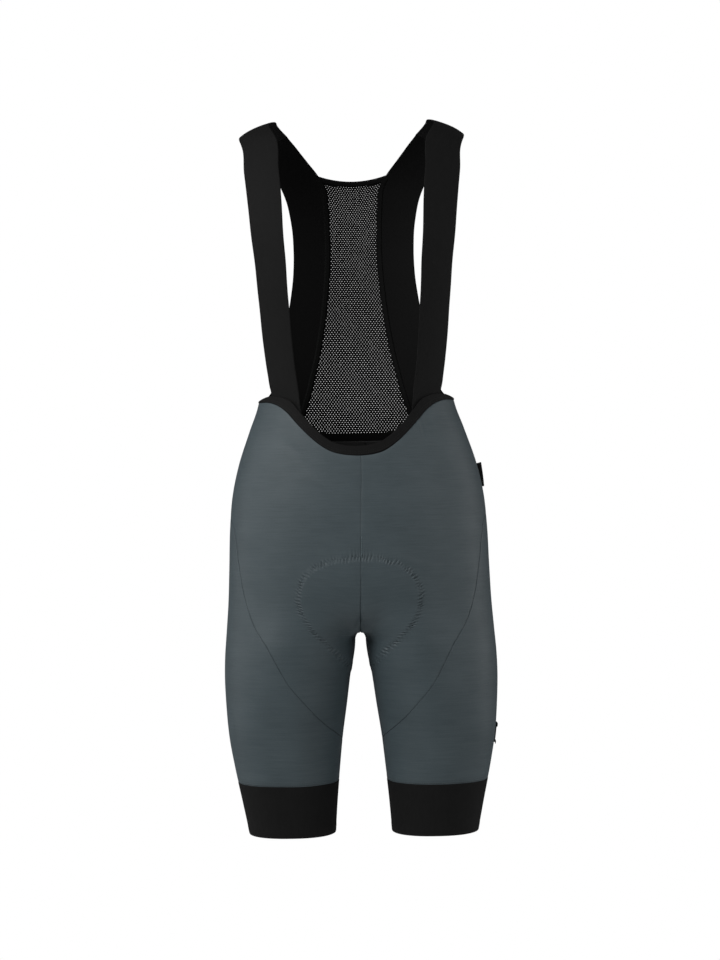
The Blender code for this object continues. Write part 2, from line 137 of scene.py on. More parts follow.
# %% Curves through a table
def smooth(at, knots, values):
    """A curve through the values, with no corner at the knots.

    Between two knots it is the cubic that has their values and, at each, the slope of the
    line between its neighbours.
    """
    knots = np.asarray(knots, float)
    values = np.asarray(values, float)
    slope = np.gradient(values, knots)
    i = np.clip(np.searchsorted(knots, at) - 1, 0, len(knots) - 2)
    wide = knots[i + 1] - knots[i]
    t = np.clip((at - knots[i]) / wide, 0.0, 1.0)
    start = (1 + 2 * t) * (1 - t) ** 2 * values[i] + t * (1 - t) ** 2 * wide * slope[i]
    end = t * t * (3 - 2 * t) * values[i + 1] + t * t * (t - 1) * wide * slope[i + 1]
    return start + end


def ease(t):
    """Three times the square less twice the cube: 0 to 1 with a level start and end."""
    t = np.clip(t, 0, 1)
    return t * t * (3 - 2 * t)


def size(drop, column):
    return smooth(drop, COLUMNS[0], COLUMNS[Section._fields.index(column)])


# %% The figure's surface
def ring(angle, half_width, depth, power):
    """An oval's reach: the share across and the share along, to a power, add up to one."""
    across = np.abs(np.cos(angle) / half_width) ** power
    along = np.abs(np.sin(angle) / depth) ** power
    return (across + along) ** (-1 / power)


def point(turn, level):
    """The figure's point on its +X half.

    Above the hip it lies on half of the torso's oval, below the crotch on a whole leg's
    oval, and between them it moves from one to the other, soonest near the middle.
    """
    turn, level = np.broadcast_arrays(np.asarray(turn, float), np.asarray(level, float))
    near = ease((np.abs(turn) - BRIDGE) / (1 - BRIDGE))
    pelvis = np.clip((level - HIP) / PELVIS_SPAN, 0, 1) * math.pi / 2
    arch = np.clip((level - PELVIS) / ARCH_SPAN, 0, 1) * math.pi / 2
    over = np.where(
        level < PELVIS,
        HIP + (CROTCH - HIP) * np.sin(pelvis),
        CROTCH + ARCH_DROP * (1 - np.cos(arch)),
    )
    plain = HIP + (CROTCH + ARCH_DROP - HIP) * (level - HIP) / (LEG - HIP)
    drop = plain + (over - plain) * near
    drop = np.where(level < HIP, level, drop)
    drop = np.where(level > LEG, CROTCH + ARCH_DROP + level - LEG, drop)
    inner = size(drop, "inner") + ARCH_HALF * np.sin(arch) + SEAM / 2
    outer = size(drop, "outer")
    depth = np.where(turn < 0, size(drop, "front"), size(drop, "back"))
    torso = turn * math.pi / 2
    reach = ring(torso, outer, depth, TORSO_POWER)
    torso_x, torso_y = reach * np.cos(torso), reach * np.sin(torso)
    leg = turn * math.pi
    reach = ring(leg, (outer - inner) / 2, depth, LEG_POWER)
    leg_x = (outer + inner) / 2 + reach * np.cos(leg)
    leg_y = reach * np.sin(leg)
    power = np.where(turn < 0, CROTCH_POWER, TORSO_POWER)
    middle = 1 - (1 - np.sin(pelvis) ** power) ** (1 / power)
    side = ease((drop - LEGS_START) / (LEGS_FORMED - LEGS_START))
    legness = side + (middle - side) * near
    x = torso_x + (leg_x - torso_x) * legness + CREASE * near * np.sin(pelvis) ** 2
    y = torso_y + (leg_y - torso_y) * legness
    return np.stack([x, y, -drop], -1)


def unit(vectors):
    """Each vector over its own length."""
    return vectors / np.linalg.norm(vectors, axis=-1, keepdims=True)


def outward(turn, level):
    """The figure's normal: the slope down it crossed with the slope round it."""
    down = point(turn, level + 0.3 * MM) - point(turn, level - 0.3 * MM)
    round_ = point(turn + 0.001, level) - point(turn - 0.001, level)
    return unit(np.cross(down, round_))


def turn_at(x, drop, face):
    """The turn, above the hip, of the point this far from the middle; face is -1 front, +1 back."""
    half = size(drop, "outer")
    depth = np.where(face < 0, size(drop, "front"), size(drop, "back"))
    share = np.clip(np.abs(x) / half, 0, 1)
    y = depth * (1 - share**TORSO_POWER) ** (1 / TORSO_POWER)
    return face * np.arctan2(y, np.abs(x)) / (math.pi / 2)


print("hip point at the side:", np.round(point(0.0, HIP), 4))

# %% [markdown]
# ## Where the pieces meet
# A pattern cutter draws the seams before the pieces. The waist seam is a scoop in front and a
# shallow arch behind, the outer leg panel ends in a long seam that starts at the side and
# reaches the inseam above the cuff, and the braces and bib have an edge on each side.

# %% Seam lines
LAP = 0.06 * MM
TURN_PER_METRE = 5.3
TURN_WIDE = 0.25
EDGE = -LAP * TURN_PER_METRE
WAIST_HALF = 0.1262
BACK_WAIST = 0.401
BACK_RISE = 0.0494
BINDING_WIDTH = 0.0120
BAND_WIDTH = 0.0110
BAND_END = 0.0026
BAND_TAPER = 0.085
SIDE_TOP = 0.3516
SEAM_LAST = 0.8512
SEAM_END = 0.8560
CUFF_LEVEL = LEG + 0.841 - CROTCH - ARCH_DROP
HEM_LEVEL = LEG + 0.908 - CROTCH - ARCH_DROP
STRAP_FEET = (0.072, 0.110)
NET_FOOT = 0.077

WaistRow = namedtuple("WaistRow", "x drop")
FRONT_WAIST = (
    WaistRow(0.0000, 0.4225),
    WaistRow(0.0190, 0.4205),
    WaistRow(0.0330, 0.4165),
    WaistRow(0.0465, 0.4085),
    WaistRow(0.0605, 0.3963),
    WaistRow(0.0750, 0.3810),
    WaistRow(0.0886, 0.3655),
    WaistRow(0.0980, 0.3580),
    WaistRow(0.1090, 0.3532),
    WaistRow(0.1262, 0.3516),
)
SeamRow = namedtuple("SeamRow", "level turn")
LEG_SEAM = (
    SeamRow(0.4940, 0.000),
    SeamRow(0.5050, 0.120),
    SeamRow(0.5250, 0.178),
    SeamRow(0.5640, 0.213),
    SeamRow(0.6300, 0.262),
    SeamRow(0.7000, 0.350),
    SeamRow(0.7400, 0.430),
    SeamRow(0.7750, 0.508),
    SeamRow(0.8000, 0.590),
    SeamRow(0.8200, 0.670),
    SeamRow(0.8350, 0.765),
    SeamRow(0.8460, 0.880),
    SeamRow(0.8520, 1.000),
)

# Edges of the braces and the bib. The face is -1 in front, +1 behind and 0 at the outer side.
# The bib's edges start where those of the brace end.
EdgeRow = namedtuple("EdgeRow", "x drop face")
STRAP_INNER = (
    EdgeRow(0.0720, 0.3690, -1),
    EdgeRow(0.0775, 0.3000, -1),
    EdgeRow(0.0828, 0.2270, -1),
    EdgeRow(0.0862, 0.1640, -1),
    EdgeRow(0.0895, 0.1000, -1),
    EdgeRow(0.0930, 0.0560, -1),
    EdgeRow(0.0960, 0.0150, -1),
    EdgeRow(0.0980, -0.0135, 0),
    EdgeRow(0.0966, -0.0119, 1),
    EdgeRow(0.0943, -0.0098, 1),
    EdgeRow(0.0911, -0.0070, 1),
    EdgeRow(0.0878, -0.0042, 1),
    EdgeRow(0.0850, -0.0018, 1),
)
STRAP_OUTER = (
    EdgeRow(0.1100, 0.3410, -1),
    EdgeRow(0.1155, 0.2890, -1),
    EdgeRow(0.1210, 0.2260, -1),
    EdgeRow(0.1268, 0.1620, -1),
    EdgeRow(0.1335, 0.0970, -1),
    EdgeRow(0.1376, 0.0610, -1),
    EdgeRow(0.1408, 0.0240, -1),
    EdgeRow(0.1430, 0.0050, 0),
    EdgeRow(0.1270, 0.0200, 1),
)
BIB_INNER = (
    STRAP_INNER[-1],
    EdgeRow(0.0736, 0.0109, 1),
    EdgeRow(0.0577, 0.0297, 1),
    EdgeRow(0.0452, 0.0450, 1),
    EdgeRow(0.0380, 0.0570, 1),
    EdgeRow(0.0340, 0.0850, 1),
    EdgeRow(0.0326, 0.1165, 1),
    EdgeRow(0.0325, 0.1500, 1),
    EdgeRow(0.0366, 0.2078, 1),
    EdgeRow(0.0470, 0.2790, 1),
    EdgeRow(0.0580, 0.3260, 1),
    EdgeRow(0.0715, 0.3690, 1),
    EdgeRow(0.0770, 0.3865, 1),
)
BIB_OUTER = (
    STRAP_OUTER[-1],
    EdgeRow(0.1100, 0.0390, 1),
    EdgeRow(0.0980, 0.0570, 1),
    EdgeRow(0.0895, 0.0770, 1),
    EdgeRow(0.0830, 0.1090, 1),
    EdgeRow(0.0808, 0.1430, 1),
    EdgeRow(0.0817, 0.1770, 1),
    EdgeRow(0.0858, 0.2110, 1),
    EdgeRow(0.0930, 0.2500, 1),
    EdgeRow(0.0995, 0.2850, 1),
    EdgeRow(0.1060, 0.3150, 1),
    EdgeRow(0.1122, 0.3360, 1),
    EdgeRow(0.1185, 0.3445, 1),
    EdgeRow(0.1261, 0.3485, 0),
)


# %% Seam lines as functions
def front_waist(x):
    rows = np.array(FRONT_WAIST).T
    return smooth(np.abs(x), rows[0], rows[1])


def back_waist(x):
    """The centre's drop less the fourth power of the way out to the side."""
    return BACK_WAIST - BACK_RISE * (np.abs(x) / WAIST_HALF) ** 4


def raised(x, waist, width):
    """The upper edge of a band on the waist seam: its width, measured square to the seam."""
    level = waist(x)
    slope = (waist(np.abs(x) + MM) - waist(np.abs(x) - MM)) / (2 * MM)
    share = np.clip((np.abs(x) - BAND_TAPER) / (WAIST_HALF - BAND_TAPER), 0, 1)
    wide = width + (BAND_END - width) * share**2
    return level - wide * np.sqrt(1 + slope**2 * (1 - share))


def waist_line(face):
    """Turn, seam level and band level, from the middle out to the side."""
    waist, width = (front_waist, BINDING_WIDTH) if face < 0 else (back_waist, BAND_WIDTH)
    x = np.linspace(0, WAIST_HALF, 400)
    level = waist(x)
    turn = np.clip(np.abs(turn_at(x, level, face)), EDGE, 1 - EDGE)
    return turn, level, raised(x, waist, width)


FRONT_LINE = waist_line(-1)
BACK_LINE = waist_line(1)


def on_waist(turn, line, row):
    """A level of a waist line (row 1 the seam, row 2 the band's top) at the turn."""
    return np.interp(np.abs(turn), line[0][::-1], line[row][::-1])


def leg_seam(level, shift):
    """How far round the leg seam lies at this level; shift moves it off its line."""
    rows = np.array(LEG_SEAM).T
    at = np.asarray(level, float) - shift
    turn = np.where(at < rows[0][0], 0, smooth(at, rows[0], rows[1]))
    return np.clip(turn - shift * TURN_PER_METRE, EDGE, 1 - EDGE)


def edge_curve(rows, t):
    """Turn and level along an edge, t from 0 to 1 by its length."""
    x, drop, face = np.array(rows).T
    turn = np.where(face == 0, 0.0, turn_at(x, drop, np.where(face == 0, 1.0, face)))
    spot = point(turn, drop)
    length = np.concatenate([[0], np.cumsum(np.linalg.norm(np.diff(spot, axis=0), axis=1))])
    length /= length[-1]
    return smooth(t, length, turn), smooth(t, length, drop)


print("waist seam: front", front_waist(0.0).round(4), "back", back_waist(0.0))

# %% [markdown]
# ## From a grid to a closed shell
# A plane with a Solidify modifier would give cloth a thickness, but its edges would be square.
# Real cut edges are pressed thin by the seam, so the two faces are worked out here: each point
# of the middle surface goes half a thickness to each side, and the thickness shrinks to a
# third along the last millimetre before an edge. A row of quads closes the rim.


# %% Put arrays into a mesh
def put_mesh(name, spots, quads, triangles=None, chart=None, inside=None):
    """An object of quads and triangles, with a UV map in metres and an inside mask."""
    mesh = bpy.data.meshes.new(name)
    mesh.vertices.add(len(spots))
    mesh.vertices.foreach_set("co", np.ascontiguousarray(spots, np.float32).ravel())
    corners = quads.ravel()
    sizes = np.full(len(quads), 4)
    if triangles is not None:
        corners = np.concatenate([corners, triangles.ravel()])
        sizes = np.concatenate([sizes, np.full(len(triangles), 3)])
    mesh.loops.add(len(corners))
    mesh.loops.foreach_set("vertex_index", corners.astype(np.int32))
    mesh.polygons.add(len(sizes))
    starts = np.concatenate([[0], np.cumsum(sizes)[:-1]])
    mesh.polygons.foreach_set("loop_start", starts.astype(np.int32))
    mesh.update(calc_edges=True)
    mesh.shade_smooth()
    if chart is not None:
        layer = mesh.uv_layers.new(name="cloth")
        layer.data.foreach_set("uv", chart[corners].astype(np.float32).ravel())
    if inside is not None:
        mask = mesh.attributes.new("inside", "FLOAT", "POINT")
        mask.data.foreach_set("value", inside.astype(np.float32))
    piece = bpy.data.objects.new(name, mesh)
    bpy.context.scene.collection.objects.link(piece)
    return piece


def triangle_count(piece):
    return sum(len(face.vertices) - 2 for face in piece.data.polygons)


# %% Grids
def grid_index(rows, columns):
    return np.arange(rows * columns).reshape(rows, columns)


def grid_quads(rows, columns):
    """Corners of the quads of a grid numbered row by row, facing down-row cross along-row."""
    at = grid_index(rows, columns)
    return np.stack([at[:-1, :-1], at[1:, :-1], at[1:, 1:], at[:-1, 1:]], -1).reshape(-1, 4)


def grid_border(rows, columns):
    """The border's points, in the order in which the quads pass them."""
    at = grid_index(rows, columns)
    return np.concatenate([at[:-1, 0], at[-1, :-1], at[:0:-1, -1], at[0, :0:-1]])


def lengths(spots, axis):
    """Distance travelled along the rows (axis 1) or columns (axis 0) of a grid of points."""
    steps = np.linalg.norm(np.diff(spots, axis=axis), axis=-1)
    start = np.zeros_like(np.take(steps, [0], axis))
    return np.concatenate([start, np.cumsum(steps, axis)], axis)


def from_edges(spots):
    """Each grid point's distance from the nearest of the grid's four edges."""
    down = lengths(spots, 0)
    across = lengths(spots, 1)
    down = np.minimum(down, down[-1:] - down)
    return np.minimum(down, np.minimum(across, across[:, -1:] - across))


EDGE_STEPS = np.array([0.0, 0.25, 0.65, 1.25]) * MM
ROUNDED = 1.2 * MM


def shares(count, length):
    """Even shares of a length, with three more points near each end for a rounded rim."""
    near = EDGE_STEPS / length
    return np.concatenate([near, np.linspace(0, 1, count)[1:-1], 1 - near[::-1]])


def shell(name, spots, out, thickness, chart, rim=0.3, lift=0.0, painted_inside_shade=False):
    """Cloth of a thickness round a grid of middle points.

    The half thickness is thickness / 2 times rim + (1 - rim) times a quarter circle over the
    rounded stretch before an edge. `lift` moves both faces along `out`, so the cloth bends
    and keeps its thickness. The flag marks the inner face, which the finish paints near
    black: painted shade for the dark inside of the garment.
    """
    rows, columns = spots.shape[:2]
    near = 1 - np.clip(from_edges(spots) / ROUNDED, 0, 1)
    half = thickness / 2 * (rim + (1 - rim) * np.sqrt(1 - near**2))
    middle = spots + out * np.broadcast_to(lift, spots.shape[:2])[..., None]
    step = out * np.broadcast_to(half, spots.shape[:2])[..., None]
    faces = grid_quads(rows, columns)
    border = grid_border(rows, columns)
    facing = np.cross(spots[1:, :-1] - spots[:-1, :-1], spots[:-1, 1:] - spots[:-1, :-1])
    if (facing * out[:-1, :-1]).sum() < 0:
        faces = faces[:, ::-1]
        border = border[::-1]
    count = rows * columns
    ahead = np.roll(border, -1)
    rim_faces = np.stack([ahead, border, border + count, ahead + count], -1)
    quads = np.concatenate([faces, faces[:, ::-1] + count, rim_faces])
    points = np.concatenate([(middle + step).reshape(-1, 3), (middle - step).reshape(-1, 3)])
    inside = np.repeat([0.0, 1.0 if painted_inside_shade else 0.0], count)
    chart = np.tile(chart.reshape(-1, 2), (2, 1))
    piece = put_mesh(name, points, quads, chart=chart, inside=inside)
    print(f"{name}: {triangle_count(piece)} triangles")
    return piece


def figure_chart(turn, level, spots):
    """UV in metres: round the body by turn, and down it mostly by drop."""
    down = -0.75 * spots[..., 2] + 0.25 * level
    return np.stack([turn * TURN_WIDE, down], -1)


def own_chart(spots):
    """UV in metres along a strip's own rows and columns."""
    return np.stack([lengths(spots, 1), lengths(spots, 0)], -1)


# %% [markdown]
# ## Declaring the cloth
# Each sheet's size when it was cut is recorded. Stretch cloth is cut
# smaller than the body: here a tenth smaller round it, and three parts in a hundred smaller
# along it. So the flat sizes are the worn grid's longest row and column over those shares. The
# library takes no cut under a centimetre, so a narrower tape is declared that wide.

# %% Flat sizes
STRETCH_ROUND = 1.10
STRETCH_ALONG = 1.03
LEAST_CUT = 10.2 * MM
CUTS = {}


def grid_area(spots):
    """Half the length of the cross product of each quad's two diagonals, added up."""
    one = spots[1:, 1:] - spots[:-1, :-1]
    other = spots[1:, :-1] - spots[:-1, 1:]
    return float(np.linalg.norm(np.cross(one, other), axis=-1).sum() / 2)


def stand_for(piece, slot, node):
    """Say which slot a piece has and, if there is one, which solid it stands for."""
    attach(piece, "root")
    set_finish(piece, slot)
    if node:
        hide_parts(node)


def declare(piece, spots, slot, node, rests_on, stretch=True, widest=slice(None)):
    """Say what a finished sheet of cloth is: its slot, its solid and its cut."""
    round_, along = (STRETCH_ROUND, STRETCH_ALONG) if stretch else (1.0, 1.0)
    wide = max(float(lengths(spots, 1)[widest, -1].max()) / round_, LEAST_CUT)
    long = max(float(lengths(spots, 0)[-1].max()) / along, LEAST_CUT)
    area = min(grid_area(spots) / (round_ * along), wide * long)
    stand_for(piece, slot, node)
    CUTS[piece.name] = (round(wide * 1000), round(long * 1000), round(area * 1e4))


# %% [markdown]
# ## The pad's quilting line
# The seat pad is sewn in with a zigzag that shows through as a line of small puckers. The line
# is an oval that folds over the crotch. The saddle there behaves like the square of a complex
# number: with `along` measured from the crotch to front or back and `away` to the side, the
# surface point is (along + i away) squared. The zigzag is worked out in those coordinates.

# %% The oval and its distances
TURN_LENGTH = 0.270
PAD_FRONT = 0.397
PAD_BACK = 0.430
PAD_SIDE = 0.240
SEWN_SIDE = 0.227
ZIGZAG = 3.3 * MM
ZIGZAG_PITCH = 6.2 * MM


def oval_table(reach):
    """Angle, oval radius and distance sewn, for a quarter of the oval."""
    angle = np.linspace(0, math.pi / 2, 600)
    radius = ((np.cos(angle) / reach) ** 3 + (np.sin(angle) / SEWN_SIDE) ** 3) ** (-1 / 3)
    spot = radius * np.exp(1j * angle)
    steps = 2 * (np.abs(spot[1:]) + np.abs(spot[:-1])) / 2 * np.abs(np.diff(spot))
    return angle, radius, np.concatenate([[0], np.cumsum(steps)])


OVALS = {-1: oval_table(PAD_FRONT), 1: oval_table(PAD_BACK)}


def zigzag(sewn, whole):
    """A triangle wave, with a whole number of teeth along the quarter."""
    teeth = np.round(whole / ZIGZAG_PITCH)
    x = sewn / whole * teeth
    return ZIGZAG * (2 * np.abs(2 * (x - np.floor(x + 0.5))) - 1)


def pad_distance(turn, level, face):
    """Distance from the oval (outside it positive) and from the zigzag, and the length sewn."""
    reach = PAD_FRONT if face < 0 else PAD_BACK
    angle, _, sewn = OVALS[face]
    spot = np.sqrt(PELVIS - level + 1j * (1 - np.abs(turn)) * TURN_LENGTH + 1e-9j)
    along, away = np.abs(spot.real), np.abs(spot.imag)
    g = ((along / reach) ** 3 + (away / SEWN_SIDE) ** 3) ** (1 / 3)
    slope = np.hypot((along / reach) ** 2 / reach, (away / SEWN_SIDE) ** 2 / SEWN_SIDE) / g**2
    distance = (g - 1) / slope * 2 * np.abs(spot)
    at = np.interp(np.arctan2(away, along), angle, sewn)
    return distance, distance - zigzag(at, sewn[-1]), at


print("oval quarters, mm:", {k: round(v[2][-1] * 1000) for k, v in OVALS.items()})

# %% [markdown]
# ## Creases
# Worn stretch cloth is smooth, with a few shallow hollows where it is pulled: at the crotch,
# below the waist, at the brace ends, under the seat and behind the thigh. They could come from
# a noise texture, but then they would sit anywhere. Each one is a row of a table instead: a
# soft trough (depth below zero) or ridge, with its own heading, length and width.

# %% The crease table
Crease = namedtuple("Crease", "side turn level heading length width depth")
BOTH = 0
CREASES = (
    Crease(BOTH, -0.985, 0.652, 62, 0.030, 0.0060, -0.0011),
    Crease(BOTH, -0.930, 0.676, 48, 0.034, 0.0075, 0.0008),
    Crease(BOTH, -0.880, 0.716, 38, 0.030, 0.0070, -0.0009),
    Crease(BOTH, 0.960, 0.690, 60, 0.034, 0.0080, -0.0012),
    Crease(BOTH, 0.900, 0.722, 40, 0.036, 0.0090, 0.0009),
    Crease(BOTH, 0.800, 0.748, 18, 0.050, 0.0100, -0.0010),
    Crease(-1, -0.560, 0.412, -22, 0.030, 0.0042, -0.0009),
    Crease(-1, -0.600, 0.424, -28, 0.034, 0.0045, -0.0008),
    Crease(-1, -0.640, 0.437, -30, 0.028, 0.0050, -0.0007),
    Crease(1, -0.545, 0.386, 84, 0.010, 0.0019, 0.0007),
    Crease(1, -0.520, 0.390, 78, 0.015, 0.0026, -0.0006),
    Crease(1, -0.480, 0.388, 82, 0.013, 0.0028, -0.0005),
    Crease(-1, -0.535, 0.815, 97, 0.110, 0.0220, 0.0034),
    Crease(-1, -0.400, 0.735, 98, 0.060, 0.0300, 0.0028),
    Crease(-1, -0.700, 0.735, 98, 0.060, 0.0240, -0.0022),
    Crease(1, -0.545, 0.775, 86, 0.110, 0.0270, 0.0044),
    Crease(1, -0.700, 0.560, 24, 0.030, 0.0080, 0.0006),
    Crease(-1, 0.500, 0.620, 12, 0.050, 0.0100, -0.0008),
    Crease(1, 0.560, 0.632, -10, 0.055, 0.0110, -0.0009),
    Crease(-1, 0.300, 0.800, 6, 0.045, 0.0090, -0.0008),
    Crease(1, 0.340, 0.812, -5, 0.050, 0.0080, -0.0009),
    Crease(BOTH, 0.450, 0.836, 3, 0.055, 0.0085, -0.0007),
    Crease(-1, -0.760, 0.860, -14, 0.036, 0.0070, -0.0005),
    Crease(1, -0.700, 0.868, 16, 0.034, 0.0080, -0.0005),
)


RIDGE_LEVELS = (0.60, 0.66, 0.72, 0.79, 0.84)
RIDGE_HEIGHTS = (0.0, 0.7, 1.3, 1.2, 0.0)
RIDGE_WIDTH = 9 * MM
SEAM_SLANT = 0.8


def seam_ridge(turn, level):
    """The cloth stands up along the leg seams: the height falls off as exp(-distance).

    The seams run aslant, so the distance across them is a share of that round the leg.
    """
    away = np.abs(np.abs(turn) - leg_seam(level, 0)) * TURN_WIDE * SEAM_SLANT
    height = np.interp(level, RIDGE_LEVELS, RIDGE_HEIGHTS)
    return height * MM * np.exp(-away / RIDGE_WIDTH)


def creased(turn, level, side):
    """The seams' ridges and the table's troughs, each of two bell curves, along and across."""
    lift = seam_ridge(turn, level)
    for crease in CREASES:
        if crease.side in (BOTH, side):
            heading = math.radians(crease.heading)
            right = (turn - crease.turn) * TURN_WIDE
            down = level - crease.level
            along = right * math.cos(heading) + down * math.sin(heading)
            across = down * math.cos(heading) - right * math.sin(heading)
            bell = np.exp(-((along / crease.length) ** 2) - (across / crease.width) ** 2)
            lift = lift + crease.depth * bell
    return lift


FULLNESS = 0.9 * MM
TROUGH = 0.80 * MM
TROUGH_WIDTH = 0.9 * MM
GATHER = 0.46 * MM
GATHER_STEP = 0.95 * MM
GATHER_WIDTH = 4.8 * MM
PUFF = 0.30 * MM


def relief(turn, level, side, face):
    """Creases, the pad's own fullness, and uneven puckers along its zigzag.

    The zigzag is pressed in as a trough, and across it run gathers: a sine of the length
    sewn, whose pitch and height wander, under a bell curve of the distance from the oval.
    """
    from_oval, from_line, sewn = pad_distance(turn, level, face)
    full = FULLNESS * ease(0.5 - from_oval / (14 * MM))
    slow, quick = sewn / (8.3 * MM) + side, sewn / (3.1 * MM) + 2 * side
    uneven = 1 + 0.35 * np.sin(slow) + 0.30 * np.sin(quick)
    trough = -TROUGH * uneven * np.exp(-((from_line * 0.44 / TROUGH_WIDTH) ** 2))
    wave = np.sin(sewn / GATHER_STEP + 2.2 * np.sin(sewn / (7.0 * MM)) + side)
    gathers = GATHER * uneven * wave * np.exp(-((from_oval / GATHER_WIDTH) ** 2))
    puffed = PUFF * np.exp(-((from_oval / (6 * MM)) ** 2))
    return creased(turn, level, side) + full + trough + gathers + puffed


print("creases:", len(CREASES))

# %% [markdown]
# ## Front, back and leg panels
# Each grey panel is a grid in turn and level. Its columns run from the centre to the side or
# leg seam, closest together where the zigzag is, because a pucker needs about five points.


# %% Panel grids
FINE_FROM = 0.545
FINE_TO = 0.757
FINE_SHARE = 0.62
EVEN_FROM = 0.500
PANEL_WIDE = 0.19


def panel_rows(fine):
    """Levels down the side, finest over the pad."""
    above = SIDE_TOP + (FINE_FROM - SIDE_TOP) * shares(36, FINE_FROM - SIDE_TOP)[:-4]
    below = FINE_TO + (SEAM_LAST - FINE_TO) * shares(22, SEAM_LAST - FINE_TO)[4:]
    return np.concatenate([above, np.arange(FINE_FROM, FINE_TO, fine), below])


def panel_grid(face, fine):
    """Turn and level of a front or back panel, from its centre edge to the side and leg seam.

    The level eases from the waist seam at the top to even rows over the pad.
    """
    line = FRONT_LINE if face < 0 else BACK_LINE
    rows = panel_rows(fine)
    near = FINE_SHARE * np.linspace(0, 1, int(FINE_SHARE * PANEL_WIDE / fine))[2:]
    far = np.linspace(FINE_SHARE, 1, 24)[1:-1]
    first, last = EDGE_STEPS[1:] / PANEL_WIDE, 1 - EDGE_STEPS[::-1] / TURN_WIDE
    across = np.concatenate([[0.0], first, near, far, last])
    top = on_waist(1 - EDGE - (1 - 2 * EDGE) * across, line, 1) - LAP
    rest = 1 - ease((rows - SIDE_TOP) / (EVEN_FROM - SIDE_TOP))[:, None]
    level = rows[:, None] + (top - SIDE_TOP) * rest
    seam = leg_seam(level, LAP)
    seam[0] = EDGE
    turn = 1 - EDGE - (1 - EDGE - seam) * across
    return face * turn, level


def leg_grid():
    """Turn and level of the outer leg panel, in columns from the seam down to the cuff."""
    start = LEG_SEAM[0].level + LAP
    rows = start + (SEAM_LAST - start) * np.linspace(0, 1, 64) ** 1.25
    level = np.concatenate([[LEG_SEAM[0].level - LAP], rows, [SEAM_END]])
    turn = np.concatenate([[0.0], leg_seam(rows, -LAP), [1 - EDGE]])
    steps = np.hypot(np.diff(turn) * TURN_WIDE, np.diff(level))
    foot = np.concatenate([[0.0], np.cumsum(steps)]) / steps.sum() * (1 - EDGE)
    down = shares(60, 0.38)[:, None]
    turn = turn + (foot - turn) * down
    level = level + (CUFF_LEVEL + LAP - level) * down
    turn = np.concatenate([-turn[:, :0:-1], turn], 1)
    level = np.concatenate([level[:, :0:-1], level], 1)
    return turn, level


# %% Sew up the grey cloth
CLOTH = 1.5 * MM
SIDES = {"left": 1, "right": -1}


def mirrored(vectors, side):
    return vectors * np.array((side, 1, 1))


LEAN_LEVELS = (0.40, 0.45, 0.50, 0.60, 0.64)
LEAN_SHIFTS = (5.2, 4.8, 3.5, 1.4, 0.0)
LEAN_WIDTH = 0.034


def leaned(spots):
    """Points with the front's middle drawn a few millimetres towards +X, most at the waist.

    A worn centre seam isn't plumb. The shift dies away to the sides as a bell curve.
    """
    x, y, z = np.moveaxis(spots, -1, 0)
    aside = np.interp(-z, LEAN_LEVELS, LEAN_SHIFTS) * MM
    shift = np.where(y < 0, aside * np.exp(-((x / LEAN_WIDTH) ** 2)), 0)
    return np.stack([x + shift, y, z], -1)


def seam_dip(spots):
    """The cloth sinks a little towards its seams, with a faint ripple from the stitches."""
    down = lengths(spots, 0)
    ripple = np.sin(down / (3.7 * MM)) * np.sin(down / (9.1 * MM))
    return -0.30 * MM * np.exp(-from_edges(spots) / (2.0 * MM)) * (1 + 0.5 * ripple)


def sew_sheet(
    name, side, grid, cloth, chart, slot, node, rests_on, lift=0.0, painted_inside_shade=False, leans=False, **cut
):
    """A sheet on the figure: made for +X, mirrored to its side, thickened and declared.

    `leans` draws it aside with the centre seam, and `cut` goes on to the declaration.
    """
    spots = point(*grid)
    place = mirrored(spots, side)
    out = mirrored(outward(*grid), side)
    if leans:
        place = leaned(place)
    piece = shell(name, place, out, cloth, chart, lift=lift, painted_inside_shade=painted_inside_shade)
    declare(piece, spots, slot, node, rests_on, **cut)


for word, side in SIDES.items():
    for part, face, fine in (("front", -1, 1.0 * MM), ("back", 1, 1.5 * MM)):
        turn, level = panel_grid(face, fine)
        spots = point(turn, level)
        sew_sheet(
            f"{part}_cloth_{word}",
            side,
            (turn, level),
            CLOTH,
            figure_chart(turn, level, spots),
            "slate_jersey",
            f"{part}_panel_{word}",
            ["waist_roll", "seat_cushion"],
            lift=relief(turn, level, side, face) + seam_dip(spots),
            painted_inside_shade=True,
            leans=True,
        )
    turn, level = leg_grid()
    spots = point(turn, level)
    sew_sheet(
        f"leg_cloth_{word}",
        side,
        (turn, level),
        CLOTH,
        figure_chart(turn, level, spots),
        "slate_jersey",
        f"leg_panel_{word}",
        [f"front_cloth_{word}"],
        lift=creased(turn, level, side) + seam_dip(spots),
        painted_inside_shade=True,
        widest=[-1],
    )

# %% [markdown]
# ## Cuffs
# A cuff is one knitted band, doubled at the hem and a little thicker than the leg cloth. Its
# last centimetre or so above the knee end stands a quarter of a millimetre out, and both
# edges get the same rounded rim.

# %% Knit the cuffs
CUFF_CLOTH = 2.0 * MM
HEM_FOLD = 12 * MM


def cuff_grid():
    """Turn and level of a cuff, all round the leg, from the seam down to the hem."""
    down = CUFF_LEVEL - LAP + (HEM_LEVEL - CUFF_LEVEL + LAP) * shares(34, 0.067)
    across = (1 - EDGE) * (2 * shares(120, 0.40) - 1)
    return np.broadcast_arrays(across[None], down[:, None])


for word, side in SIDES.items():
    turn, level = cuff_grid()
    hem = ease((level - HEM_LEVEL + HEM_FOLD) / (4 * MM))
    sew_sheet(
        f"cuff_band_{word}",
        side,
        (turn, level),
        CUFF_CLOTH,
        np.stack([turn * TURN_WIDE, level], -1),
        "black_elastic",
        f"cuff_{word}",
        [f"leg_cloth_{word}"],
        lift=0.25 * MM * hem + 0.5 * creased(turn, level, side),
    )

# %% [markdown]
# ## Waist roll and waist band
# The front edge is bound: an elastic tape is folded over it, so its upper edge is a soft roll.
# The back has a plain band. Both are strips between the seam and a second line above it.

